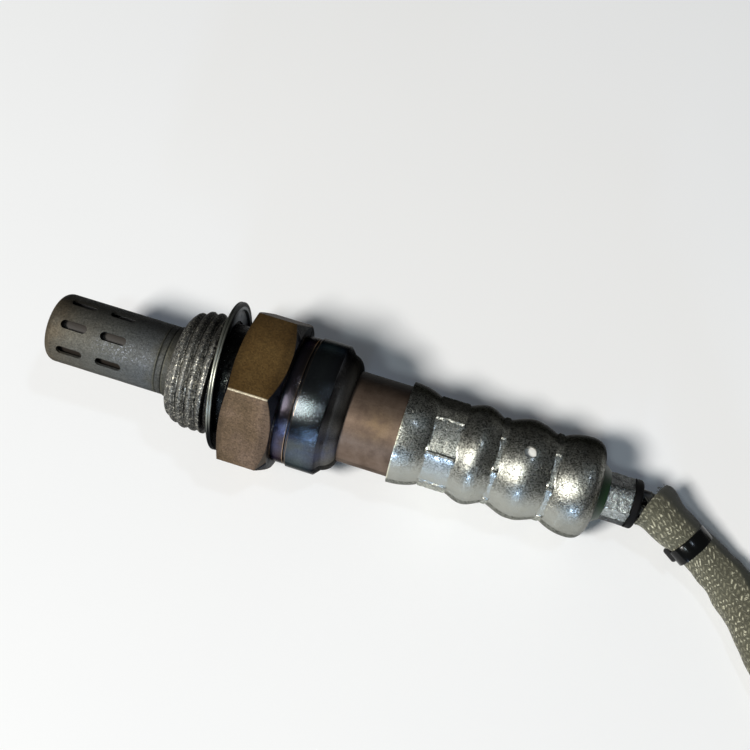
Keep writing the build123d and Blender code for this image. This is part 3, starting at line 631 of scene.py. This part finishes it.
def sleeve_steel():
    """Drawn tube with a pinkish brown heat tint and one golden bloom."""
    finish = Finish("sleeve_steel", specular_tint=dim_edge)
    place, station, angle = finish.along()
    clouds = finish.noise(place, 0.4, 3.0, 0.6)
    fine = finish.noise(place, 4.5, 3.0, 0.8)
    brushed = finish.noise(finish.stretched(place, 0.8, 5.0, 5.0), 2.0, 2.0, 0.6)
    shade = finish.ramp(
        clouds,
        (0.3, 92, 77, 66),
        (0.5, 108, 92, 80),
        (0.7, 120, 104, 92),
    )
    bloom = angle.near(116.0, 34.0) * station.near(21.4, 4.6) * clouds.rise(0.3, 0.6)
    shade = finish.mix(bloom * 0.25, shade, rgb(128, 104, 52))
    # Painted light and shade: lighter low on the near side, darker on the back.
    lower = angle.rise(118.0, 150.0)
    dark = dark_back(finish, place)
    tone = (0.5 + fine * 0.55 + brushed * 0.2 + lower * 0.3) * (1 - dark * 0.85)
    normal = finish.bump(fine * 0.6 + brushed * 0.4, 0.02, 0.5)
    return finish.surface(shade, tone, roughness=0.44 + fine * 0.16, metallic=0.7, normal=normal)


# the shield's grooves: where each starts and ends, and its radius
grooves = ((29.05, 33.55, 6.73), (38.75, 39.75, 6.49), (46.75, 47.85, 6.52))


def shield_steel():
    """Satin stainless sheet with the fine grain that drawing and crimping leave."""
    finish = Finish(
        "shield_steel", metallic=1.0, specular_tint=(0.35, 0.35, 0.35, 1), coat_roughness=0.16
    )
    finish.shader.inputs["Coat IOR"].default_value = 2.4
    place, station, angle = finish.along()
    clouds = finish.noise(place, 0.3, 4.0, 0.6)
    fine = finish.noise(place, 4.6, 2.0, 0.95)
    grit = finish.grains(place, 5.2)
    scratches = finish.noise(finish.stretched(place, 3.0, 0.5, 0.5), 2.4, 3.0, 0.6)
    shade = finish.mix(clouds, rgb(182, 181, 168), rgb(170, 173, 168))
    # Painted highlight: a cream line along the lip's edge, on the near side.
    lip = station.near(24.75, 0.22) * angle.rise(84.0, 110.0)
    shade = finish.mix(lip, shade, rgb(244, 240, 214))
    # Painted shade: darker towards the top and on the back, where the grain shows more strongly.
    upper = angle.rise(162.0, 132.0)
    speck = (fine - 0.5) * 2.6 + (grit - 0.5) * 0.7
    tone = 0.92 - upper * 0.24 + speck * (0.1 + upper * 0.95)
    tone = tone * (1 - dark_back(finish, place) * 0.9) * (1 - station.rise(49.5, 51.0) * 0.18)
    pressed = sum(
        station.rise(first - 0.05, first + 0.15) - station.rise(last - 0.15, last + 0.05)
        for first, last, _ in grooves
    )
    # Painted light: the jaw pads are lighter round one angle on the near side and on the upper
    # back; their added roughness is their own.
    tone = tone * (1 + pressed * angle.near(115.0, 17.0) * 0.35)
    pressed = pressed * angle.rise(88.0, 70.0)
    tone = tone.largest(0.05) * (1 + pressed * 0.5)
    rough = 0.22 + fine * 0.16 + clouds * 0.06 + pressed * 0.3
    normal = finish.bump(fine * 0.6 + grit * 0.25 + scratches * 0.15, 0.1, 0.7)
    coat = (fine + grit * 0.5).rise(0.45, 0.9) * angle.rise(58.0, 92.0) * 0.4
    return finish.surface(shade, tone, roughness=rough, normal=normal, coat_weight=coat)


def ferrule_metal():
    """Bright crimped metal, scratched and dented by the pliers."""
    finish = Finish("ferrule_metal", metallic=1.0)
    place = finish.sensor()
    dents = finish.noise(place, 1.9, 4.0, 0.75)
    scratches = finish.noise(finish.stretched(place, 1.6, 3.0, 3.0), 1.8, 3.0, 0.8)
    # Painted shade: darker on its upper side.
    upper = finish.angle(place).rise(112.0, 84.0)
    tone = 0.92 + (dents - 0.5) * 3.2 + (scratches - 0.5) * 2.6
    tone = tone.largest(0.08) * (1 - upper * 0.85)
    normal = finish.bump(dents * 0.5 + scratches * 0.5, 0.34, 1.0)
    return finish.surface(rgb(176, 182, 180), tone, roughness=0.14 + dents * 0.2, normal=normal)


def plain_metal(name, shade, roughness):
    """Clean plated or turned metal of the pieces held inside."""
    finish = Finish(name, metallic=1.0)
    place = finish.millimetres()
    fine = finish.noise(place, 5.0, 3.0, 0.6)
    normal = finish.bump(fine, 0.01, 0.4)
    return finish.surface(shade, 0.8 + fine * 0.4, roughness=roughness + fine * 0.1, normal=normal)


def mineral(name, shade, roughness):
    """Fired ceramic, pressed powder or porous film."""
    finish = Finish(name)
    place = finish.millimetres()
    fine = finish.noise(place, 4.0, 4.0, 0.6)
    normal = finish.bump(fine, 0.03, 0.5)
    return finish.surface(shade, 0.88 + fine * 0.2, roughness=roughness, normal=normal)


def moulding(name, shade, roughness, texture=0.02, dust=0.06, gloss=0.5):
    """Moulded rubber or plastic with a fine texture and a little dust."""
    finish = Finish(name)
    finish.shader.inputs["Specular IOR Level"].default_value = gloss
    place = finish.millimetres()
    fine = finish.noise(place, 6.0, 3.0, 0.6)
    specks = finish.noise(place, 1.3, 5.0, 0.75).rise(0.58, 0.8)
    tint = finish.mix(specks * dust, shade, rgb(150, 146, 136))
    normal = finish.bump(fine, texture, 0.6)
    rough = roughness + specks * 0.15 + fine * 0.08
    return finish.surface(tint, roughness=rough, normal=normal)


def knit():
    """Glass-fibre yarn, knitted: each stitch a pale dash, a painted highlight, with painted shade
    in the gap round it.
    """
    finish = Finish("knit", sheen_weight=0.1, sheen_roughness=0.5)
    across, course = finish.node(
        "ShaderNodeSeparateXYZ", None, {0: finish.node("ShaderNodeUVMap", {"uv_map": "knit"})},
        ("X", "Y"),
    )
    place = finish.millimetres()
    wander = finish.noise(place, 0.9, 4.0, 0.7) - 0.5
    column = across + wander * 1.3
    leg = (column * 2).fraction()
    slant = (column.fraction() - 0.5).size()
    row = course + slant * 1.2 + wander * 2.6
    ridge = (row * tau).sine() * 0.5 + 0.5
    strand = (leg * pi).sine()
    height = ridge * strand
    stitch = finish.node(
        "ShaderNodeCombineXYZ", None, {0: (column * 2).whole(), 1: row.whole(), 2: 0.0}
    )
    luck = finish.node("ShaderNodeTexWhiteNoise", None, {"Vector": stitch}, "Value")
    fibres = finish.noise(place, 6.0, 3.0, 0.75)
    grime = finish.noise(place, 0.2, 4.0, 0.65)
    # Painted shade: a plain dark band along one side of the sleeve, wider near the mouth, without
    # stitches.
    painted_shade_band = (across - course.rise(16.0, 4.0) * 1.0).rise(3.4, 2.8) + across.rise(14.6, 15.4)
    # Painted shade: darker where the yarn lies low between stitches.
    body = finish.ramp(
        height * 0.6 * (1 - painted_shade_band) + fibres * 0.45,
        (0.1, 62, 61, 48),
        (0.45, 102, 100, 82),
        (0.85, 134, 131, 110),
    )
    # Painted highlight: a pale dash on the top of many stitches.
    dash = height.rise(0.6, 0.92) * luck.rise(0.2, 0.7) * fibres.rise(0.3, 0.55) * (1 - painted_shade_band)
    body = finish.mix(painted_shade_band * 0.9, body, rgb(42, 45, 37))
    shade = finish.mix(dash * 0.95, body, rgb(222, 218, 190))
    tone = 0.72 + grime * 0.44
    normal = finish.bump(height * 0.6 * (1 - painted_shade_band) + fibres * 0.4, 0.16, 0.9)
    return finish.surface(shade, tone, roughness=0.78 - dash * 0.3, normal=normal)


finishes = {
    "shroud_steel": shroud_steel(),
    "inner_shroud_steel": mineral("inner_shroud_steel", rgb(41, 35, 29), 0.6),
    "zirconia": mineral("zirconia", rgb(226, 224, 216), 0.5),
    "alumina": mineral("alumina", rgb(234, 232, 224), 0.45),
    "talc": mineral("talc", rgb(206, 203, 192), 0.9),
    "packing_steel": plain_metal("packing_steel", rgb(176, 174, 168), 0.35),
    "shell_steel": blued_steel(),
    "gasket_steel": gasket_steel(),
    "sleeve_steel": sleeve_steel(),
    "shield_steel": shield_steel(),
    "filter": mineral("filter", rgb(240, 240, 236), 0.85),
    "contact_metal": plain_metal("contact_metal", rgb(196, 192, 182), 0.25),
    "wire_black": moulding("black_wire", rgb(26, 26, 27), 0.38),
    "green_silicone": moulding("green_silicone", rgb(26, 52, 28), 0.36),
    "ferrule_metal": ferrule_metal(),
    "black_rubber": moulding("black_rubber", rgb(6, 6, 7), 0.62, 0.03, 0.03, 0.14),
    "braid": knit(),
    "tie_nylon": moulding("tie_nylon", rgb(11, 12, 12), 0.12, 0.006, 0.02, 0.25),
    "plug_plastic": moulding("plug_plastic", rgb(46, 47, 50), 0.44, 0.03),
    "seal_silicone": moulding("seal_silicone", rgb(150, 62, 38), 0.42),
    "lock_plastic": moulding("lock_plastic", rgb(196, 195, 188), 0.4),
}
slot_of = {row["node"]: row["material_slot"] for row in frame["record"]["subparts"]}
for name, node in frame["nodes"].items():
    node.data.materials.clear()
    node.data.materials.append(finishes[slot_of[name]])


def moved(piece, shift):
    """Move each point of a turned piece outwards by what shift gives for it."""
    for vertex in piece.data.vertices:
        station, y, z = vertex.co
        radius = (y * y + z * z) ** 0.5
        grown = shift(station, radius, degrees(atan2(z, y))) / radius
        vertex.co = (station, y * (1 + grown), z * (1 + grown))
    piece.data.update()


def stepped(outline, step):
    """The same outline with extra corners, so that none are further apart than a step."""
    fine = [outline[0]]
    for start, end in zip(outline, outline[1:]):
        parts = max(1, ceil(hypot(end[0] - start[0], end[1] - start[1]) / step))
        for n in range(1, parts + 1):
            fine.append(tuple(a + (b - a) * n / parts for a, b in zip(start, end)))
    return fine


def ease(value, low, high):
    """0 below one value, 1 above the other, and smooth between."""
    share = min(1.0, max(0.0, (value - low) / (high - low)))
    return share * share * (3 - 2 * share)


def past_crest(angle):
    """The angle round the axis from the crest's, in degrees."""
    return (angle - crest_angle + 180) % 360 - 180


# ---- threaded shell: thread and paste
nose = -9.9
thread_r = 9.0
relief_r = 8.3
paste_start = -9.7
shell_bore_r = 5.5


def thread_shift(station, radius, angle):
    """How far a point of the thread's blank goes in for the groove and out for the paste."""
    if radius < shell_bore_r + 0.2 or station > -3.0:
        return 0.0
    turn = (station - crest_station) / thread_pitch - past_crest(angle) / 360
    threaded = ease(station, -9.4, -8.5) * (1 - ease(station, -3.7, -3.5))
    cut = radius - thread_depth * threaded * (0.5 - 0.5 * cos(tau * turn)) ** 1.5
    place = Vector((station, *polar(radius, angle)))
    lumps = noise.fractal(place * 1.25, 0.9, 2.1, 3)
    grit = noise.noise(place * 4.5)
    paste_rise = 0.045 * (0.9 + 0.9 * lumps + 0.8 * grit)
    fade = ease(station, paste_start - 0.3, paste_start + 0.3)
    return (cut + paste_rise * fade) - radius


thread_outline = [
    (nose, shell_bore_r),
    (nose, 5.7),
    *bow((-9.86, 6.2), (-8.95, 8.12), 0.2, 10),
    *bow((-8.85, 8.16), (-6.9, 8.96), 0.06, 8),
    (-6.4, thread_r),
    (-3.55, thread_r),
    (-3.15, relief_r),
    (0.2, relief_r),
    (0.2, shell_bore_r),
    (nose, shell_bore_r),
]
thread_outline[2:-4] = stepped(thread_outline[2:-4], 0.07)
thread = turned("thread", thread_outline, 420)
moved(thread, thread_shift)
smooth(thread, 50)
finished(thread, "shell_steel", ["threaded_shell"], finish=paste())

# ---- threaded shell: hexagon
hex_flat_r = 11.0
hex_length = 7.55
hex_corner_r = hex_flat_r / cos(radians(30))
hex_bore_r = relief_r - 0.3
hex_blank_r = hex_corner_r + 0.06  # the round bar that the flats are cut from
front_chamfer = 0.65
rear_chamfer = 1.26
hexagon = turned(
    "hexagon",
    [
        (0, hex_bore_r),
        (0, hex_flat_r),
        (front_chamfer, hex_blank_r),
        (hex_length - rear_chamfer, hex_blank_r),
        (hex_length, hex_flat_r),
        (hex_length, hex_bore_r),
        (0, hex_bore_r),
    ],
    192,
)
bpy.ops.mesh.primitive_cylinder_add(
    vertices=6, radius=hex_corner_r, depth=20, location=(4, 0, 0), rotation=(0, pi / 2, 0)
)
prism = bpy.context.object
bpy.ops.object.transform_apply(location=True, rotation=True)
modify(hexagon, "BOOLEAN", operation="INTERSECT", solver="EXACT", object=prism)
bpy.data.objects.remove(prism)
modify(hexagon, "BEVEL", width=0.14, segments=3, limit_method="ANGLE", angle_limit=radians(12))
smooth(hexagon, 40)
finished(hexagon, "shell_steel", ["threaded_shell"], finish=hexagon_steel())

# ---- threaded shell: collars and rolled lip
narrow_collar_r = 9.7
wide_collar_r = 9.95
seam_r = 9.42  # the groove between the collars
collars = turned(
    "collars",
    [
        (7.4, 7.1),
        (7.4, narrow_collar_r),
        (9.55, narrow_collar_r),
        (9.62, seam_r),
        (9.88, seam_r),
        (9.95, wide_collar_r),
        (14.15, wide_collar_r),
        (15.0, 8.98),
        *bow((15.05, 8.93), (16.85, 7.02), 0.42, 12),
        (7.4, 7.02),
        (7.4, 7.1),
    ],
    240,
)
modify(collars, "BEVEL", width=0.13, segments=3, limit_method="ANGLE", angle_limit=radians(30))
smooth(collars, 50)
finished(collars, "shell_steel", ["threaded_shell"])

# ---- gasket: one sheet of steel, folded over at the rim
gasket_r = 11.35
gasket_bore_r = 8.35
gasket_half = 0.38
gasket = turned(
    "gasket",
    [
        (-gasket_half, gasket_bore_r),
        *bow((-gasket_half, gasket_r - 0.3), (-0.05, gasket_r - 0.14), 0.13, 8),
        *bow((0.05, gasket_r - 0.14), (gasket_half, gasket_r - 0.3), 0.13, 8),
        (gasket_half, gasket_r - 1.15),
        (gasket_half - 0.2, gasket_r - 1.22),
        (0.0, gasket_r - 1.3),
        (-0.03, gasket_bore_r),
        (-gasket_half, gasket_bore_r),
    ],
    240,
)
smooth(gasket, 50)
finished(gasket, "gasket_steel", ["sealing_gasket"], SENSOR @ gasket_place)

# ---- outer shield: three beads between grooves that eight jaws crimp
shield_wall = 0.4
shield_end = 54.25
vent_station = 43.25
vent_angles = (92.8, 200.8, 308.8)
vent_r = 0.86


def soft_bead(first, last, height, steps):
    """A bead's outline: short hollow at each foot and a round back."""
    run = last[0] - first[0]
    points = []
    for n in range(steps + 1):
        share = n / steps
        base = first[1] + (last[1] - first[1]) * share
        points.append((first[0] + run * share, base + height * sin(pi * share) ** 1.12))
    return points


shield_outer = [
    *bow((24.7, 7.7), (28.0, 7.19), 0.12, 10),
    *bow((28.2, 7.12), (29.05, 6.74), 0.02, 4),
    *stepped([(29.12, 6.73), (29.3, 6.73), (33.3, 6.73), (33.5, 6.73)], 0.25),
    *soft_bead((33.55, 6.73), (38.75, 6.49), 0.89, 26),
    *stepped([(38.85, 6.49), (39.68, 6.49)], 0.14),
    *soft_bead((39.75, 6.49), (46.75, 6.52), 1.015, 34),
    *stepped([(46.85, 6.52), (47.75, 6.52)], 0.14),
    *bow((47.85, 6.53), (51.65, 7.55), 0.2576, 22),
    *bow((51.65, 7.55), (53.2, 7.26), 0.1, 8)[1:],
    *bow((53.2, 7.26), (54.25, 4.95), 0.36, 14)[1:],
]
jaw_turn = 37.0
jaw_flat = 0.6  # how far the jaws press the round groove towards an octagon


def shield_shift(station, radius, angle):
    """How far the jaws push a point of the shield in, and the ridges between them out."""
    for first, last, floor in grooves:
        if not first - 0.01 <= station <= last + 0.01 or radius < floor - 0.2:
            continue
        inside = ease(min(station - first, last - station), 0.0, 0.16)
        pad = (angle - jaw_turn) % 45 - 22.5
        flat = jaw_flat * (0.957 / cos(radians(pad)) - 1) * radius
        jaw = round((angle - jaw_turn - 22.5) / 45)
        wander = noise.noise(Vector((station * 1.6, jaw * 5.0, floor))) * 1.5
        ridge = 0.16 * (1 - ease(22.5 - abs(pad + wander), 0.4, 1.9))
        press = noise.noise(Vector((station * 1.2, angle * 0.07, 3.0))) * 0.02
        return (flat + ridge + press) * inside
    return 0.0


shield = turned(
    "shield",
    [
        *[(x, r - shield_wall) for x, r in reversed(shield_outer[4::9])],
        (24.7, 7.71 - shield_wall),
        *shield_outer,
        (shield_end, 4.85),
        (shield_end - 0.05, 4.75),
        (shield_end - 0.35, 4.75),
        (shield_outer[-5][0] - 0.3, shield_outer[-5][1] - 0.3),
        (shield_outer[4::9][-1][0], shield_outer[4::9][-1][1] - shield_wall),
    ],
    432,
)
moved(shield, shield_shift)
for angle in vent_angles:
    outwards = Vector((0, *polar(1, angle)))
    bpy.ops.mesh.primitive_cylinder_add(
        vertices=40,
        radius=vent_r,
        depth=4,
        location=Vector((vent_station, 0, 0)) + outwards * 7,
        rotation=outwards.to_track_quat("Z", "X").to_euler(),
    )
    drill = bpy.context.object
    modify(shield, "BOOLEAN", operation="DIFFERENCE", solver="EXACT", object=drill)
    bpy.data.objects.remove(drill)
smooth(shield, 32)
finished(shield, "shield_steel", ["outer_shield"])

# ---- ferrule crimped to six flats
ferrule_start = 55.65
ferrule_end = 59.5
ferrule_half = 3.2
ferrule_turn = 23.3


def ferrule_shift(station, radius, angle):
    """Six flats, with the dents of the pliers."""
    if radius < 3.0:
        return 0.0
    flat = (angle - ferrule_turn) % 60 - 30
    sides = radius / cos(radians(flat)) - radius
    place = Vector((station * 0.8, angle * 0.05, 0))
    dent = noise.fractal(place, 0.8, 2.2, 2) * 0.08
    return min(sides, 0.42) + dent - 0.04


ferrule_outline = [
    (ferrule_start, 2.7),
    (ferrule_start, 3.08),
    (ferrule_start + 0.12, ferrule_half),
    (ferrule_end - 0.12, ferrule_half),
    (ferrule_end, 3.08),
    (ferrule_end, 2.7),
    (ferrule_start, 2.7),
]
ferrule = turned("ferrule", stepped(ferrule_outline, 0.12), 240)
moved(ferrule, ferrule_shift)
smooth(ferrule, 28)
finished(ferrule, "ferrule_metal", ["crimp_ferrule"])

# ---- braided sleeve
wales = 16
courses_per_mm = 1 / 0.92
sleeve_around = 72
sleeve_wall = 0.55
tie_distance = 8.1  # from the mouth to the middle of the cable tie
mouth_roll = 23.0  # degrees that the mouth's far side is turned up
mouth_setback = 0.7  # from the start of the line to the mouth
mouth_lap = 1.1  # how far the mouth's top reaches over the wires
mouth_skew = 0.75  # how far its far corner is set back, and its near one reaches forward
mouth_spread = 0.55  # how far its top moves towards the far corner, which moves twice as far
sleeve_widths = [(0, 8.0), (2, 7.5), (5.5, 6.7), (7, 6.3)]
sleeve_widths += [(11, 6.2), (14, 6.8), (21, 7.2), (30, 7.5)]
sleeve_heights = [(0, 5.4), (5, 5.2), (9, 4.9), (20, 4.4)]


def between(table, value):
    """The value that a table of pairs gives, in a straight line from pair to pair."""
    for (low, first), (high, second) in zip(table, table[1:]):
        if value <= high:
            share = max(0.0, (value - low) / (high - low))
            return first + (second - first) * share
    return table[-1][1]


def sleeve_frame(distance):
    """The middle of the sleeve at a distance from its mouth, with its heading, side and top."""
    n = min(len(sleeve_line) - 1, max(0, (distance + mouth_setback) / line_step))
    low = min(int(n), len(sleeve_line) - 2)
    place = sleeve_line[low].lerp(sleeve_line[low + 1], n - low) / MM
    steady = max(low, 12)  # the mouth keeps the heading that the tie gives it
    before = sleeve_line[steady - 3]
    after = sleeve_line[min(len(sleeve_line) - 1, steady + 4)]
    heading = (after - before).normalized()
    side = Vector((0, 0, 1)).cross(heading).normalized()
    roll = Matrix.Rotation(radians(-mouth_roll) * (1 - ease(distance, 4.0, 18.0)), 3, heading)
    side = roll @ side
    return place, heading, side, heading.cross(side)


def sleeve_section(distance):
    """Half the width and half the height of the flattened sleeve."""
    pinch = exp(-(((distance - tie_distance) / 1.5) ** 2))
    width = between(sleeve_widths, distance) - 0.3 * pinch
    height = between(sleeve_heights, distance) - 0.3 * pinch
    return width / 2, height / 2


def sleeve_point(distance, turn, inset):
    """A point of the sleeve, some way round from its side towards its top."""
    place, heading, side, top = sleeve_frame(distance)
    half_width, half_height = sleeve_section(distance)
    spot = Vector((distance * 0.22, cos(turn) * 1.1, sin(turn) * 1.1))
    crumple = noise.fractal(spot, 0.8, 2.0, 3) * 0.22
    across, rise = cos(turn), sin(turn)
    across = abs(across) ** 0.86 * (1 if across > 0 else -1)
    rise = abs(rise) ** 0.86 * (1 if rise > 0 else -1)
    point = place + side * across * (half_width + crumple - inset)
    point += top * rise * (half_height + crumple * 0.6 - inset)
    opening = 1 - ease(distance, 0.0, 4.0)
    lap = mouth_lap * max(0.0, sin(turn)) - mouth_skew * cos(turn)
    point += (side * mouth_spread * (1 + cos(turn)) - heading * lap) * opening
    point.z = max(point.z, 0.04 + inset)
    return point


sleeve_end = (len(sleeve_line) - 1) * line_step - mouth_setback
sleeve_rings = [(distance, sleeve_wall) for distance in (7, 6, 5, 4, 3, 2, 1, 0.4)]
sleeve_rings += [(0.08, sleeve_wall * 0.9), (0.0, sleeve_wall * 0.5), (0.08, 0.06)]
sleeve_rings += [(line_step * n, 0.0) for n in range(1, len(sleeve_line) - 3)]
sleeve_rings += [(sleeve_end - 0.08, 0.06), (sleeve_end, 0.3), (sleeve_end - 0.08, 0.5)]
sleeve_rings += [(sleeve_end - back, sleeve_wall) for back in (0.4, 1, 2, 3)]

bpy.ops.mesh.primitive_grid_add(
    x_subdivisions=sleeve_around, y_subdivisions=len(sleeve_rings) - 1, size=2
)
sleeve = bpy.context.object
sleeve.name = "sleeve"
ring_of = {}
for vertex in sleeve.data.vertices:
    x, y, _ = vertex.co
    ring = round((y + 1) / 2 * (len(sleeve_rings) - 1))
    distance, inset = sleeve_rings[ring]
    vertex.co = sleeve_point(distance, (x + 1) * pi, inset)
    ring_of[vertex.index] = distance
knit_map = sleeve.data.uv_layers[0]
knit_map.name = "knit"
for loop in sleeve.data.loops:
    uv = knit_map.data[loop.index].uv
    knit_map.data[loop.index].uv = (uv.x * wales, ring_of[loop.vertex_index] * courses_per_mm)
bpy.ops.object.mode_set(mode="EDIT")
close_up(0.002)
smooth(sleeve, 60)
ROW = Matrix.Scale(MM, 4)
finished(sleeve, "braid", ["braided_sleeve"], ROW)


def strands(name, lines, radius, slot):
    """Thin round strands, each along its own line of points in millimetres."""
    curve = bpy.data.curves.new(name, "CURVE")
    curve.dimensions = "3D"
    curve.bevel_depth = radius * MM
    curve.bevel_resolution = 2
    curve.use_fill_caps = True
    for line in lines:
        add_spline(curve, line, 4)
    piece = bpy.data.objects.new(name, curve)
    bpy.context.scene.collection.objects.link(piece)
    curve.materials.append(finishes[slot])
    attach(piece, "root")
    return piece


random.seed(11)
fray_count = 48
fray_r = 0.055
fray_lines = []
for n in range(fray_count):
    turn = tau * (n + random.uniform(-0.4, 0.4)) / fray_count
    edge = sleeve_point(0.05, turn, 0.2)
    place, heading, side, top = sleeve_frame(0.0)
    outwards = (edge - place).normalized()
    reach = random.uniform(0.2, 0.7) * (0.3 if cos(turn) > 0.55 else 1)
    loose = Vector([random.uniform(-1, 1) for _ in range(3)]) * 0.25
    middle = edge - heading * reach * 0.6 + (outwards * random.uniform(-0.1, 0.3) + loose) * reach
    end = edge - heading * reach + (outwards * random.uniform(-0.7, 0.6) + loose * 2) * reach
    fray_lines.append([edge + heading * 0.4, edge, middle, end])
fray = strands("fray", fray_lines, fray_r, "braid")

wire_r = 0.85
wire_place = 1.237  # how far each wire leaves the sensor's axis, both ways
wire_lines = []
for side_y, side_z in ((1, 1), (-1, 1), (-1, -1), (1, -1)):
    start = SENSOR @ Vector((wire_end - 0.3, side_y * wire_place, side_z * wire_place)) / MM
    line = [start]
    for distance in (2.5, 6.0, 10.0):
        place, heading, side, top = sleeve_frame(distance)
        line.append(place + side * side_y * 1.1 + top * side_z * 0.95)
    wire_lines.append(line)
strands("wires", wire_lines, wire_r, "wire_black")

# ---- cable tie round the sleeve's mouth
tie_width = 2.4
tie_thickness = 0.75
tie_shift = -0.3  # towards its head
head_size = (1.2, 1.7, tie_width)
head_shift = (-1.4, 0.85)
place, heading, side, top = sleeve_frame(tie_distance)
half_width, half_height = sleeve_section(tie_distance)
tie_place = Matrix((side, top, -heading)).transposed().to_4x4()
tie_place = ROW @ Matrix.Translation(place) @ tie_place @ Matrix.Rotation(radians(7), 4, "Y")
bpy.ops.mesh.primitive_circle_add(vertices=96, radius=1)
tie = bpy.context.object
tie.name = "tie"
bpy.ops.object.mode_set(mode="EDIT")
bpy.ops.transform.resize(value=(half_width + 0.55, half_height + 0.35, 1))
bpy.ops.transform.translate(value=(tie_shift, 0, -tie_width / 2))
bpy.ops.mesh.extrude_region_move(TRANSFORM_OT_translate={"value": (0, 0, tie_width)})
bpy.ops.object.mode_set(mode="OBJECT")
modify(tie, "SOLIDIFY", thickness=tie_thickness, offset=1.0)
modify(tie, "BEVEL", width=0.16, segments=3, limit_method="ANGLE", angle_limit=radians(40))
smooth(tie, 40)
finished(tie, "tie_nylon", ["cable_tie"], tie_place)

bpy.ops.mesh.primitive_cube_add(size=1)
head = bpy.context.object
head.name = "tie_head"
bpy.ops.object.mode_set(mode="EDIT")
bpy.ops.transform.resize(value=head_size)
bpy.ops.transform.translate(value=(-half_width + 0.1, *head_shift))
bpy.ops.object.mode_set(mode="OBJECT")
modify(head, "BEVEL", width=0.45, segments=5)
smooth(head, 40)
finished(head, "tie_nylon", ["cable_tie"], tie_place)

# ---- floor, light and air
floor_finish = Finish("floor", roughness=0.7)
floor_grain = floor_finish.noise(floor_finish.millimetres(), 0.02, 3.0, 0.5)
floor_tint = floor_finish.mix(floor_grain, rgb(246, 247, 249), rgb(249, 250, 251))
bpy.ops.mesh.primitive_plane_add(size=4)
floor = bpy.context.object
floor.name = "floor"
floor.data.materials.append(floor_finish.surface(floor_tint))

lamp_distance = 1.2
lamp_target = Vector((0.01, 0, 0.01))


def lamp(name, direction, size, power, tint):
    """A square lamp at a distance from the sensor's middle, turned to it."""
    light = bpy.data.lights.new(name, "AREA")
    light.size = size
    light.energy = power
    light.color = tint
    holder = bpy.data.objects.new(name, light)
    holder.rotation_mode = "QUATERNION"
    holder.rotation_quaternion = Vector(direction).to_track_quat("Z", "Y")
    holder.location = lamp_target + Vector(direction).normalized() * lamp_distance
    bpy.context.scene.collection.objects.link(holder)


lamp("key", (-0.358, -0.53, 0.768), 0.25, 14.6, (1, 0.97, 0.92))
lamp("side", (-0.05, -0.52, 0.85), 0.1, 1.1, (0.8, 0.95, 1))
lamp("over", (0.37, 0.07, 0.925), 0.08, 0.8, (0.7, 0.84, 1))
lamp("front", (0.044, -0.984, 0.176), 0.12, 2.6, (0.5, 0.7, 1))

world = bpy.data.worlds.new("room")
world.use_nodes = True
world.node_tree.nodes["Background"].inputs["Color"].default_value = (0.06, 0.06, 0.06, 1)
bpy.context.scene.world = world
bpy.context.scene.view_settings.view_transform = "Standard"
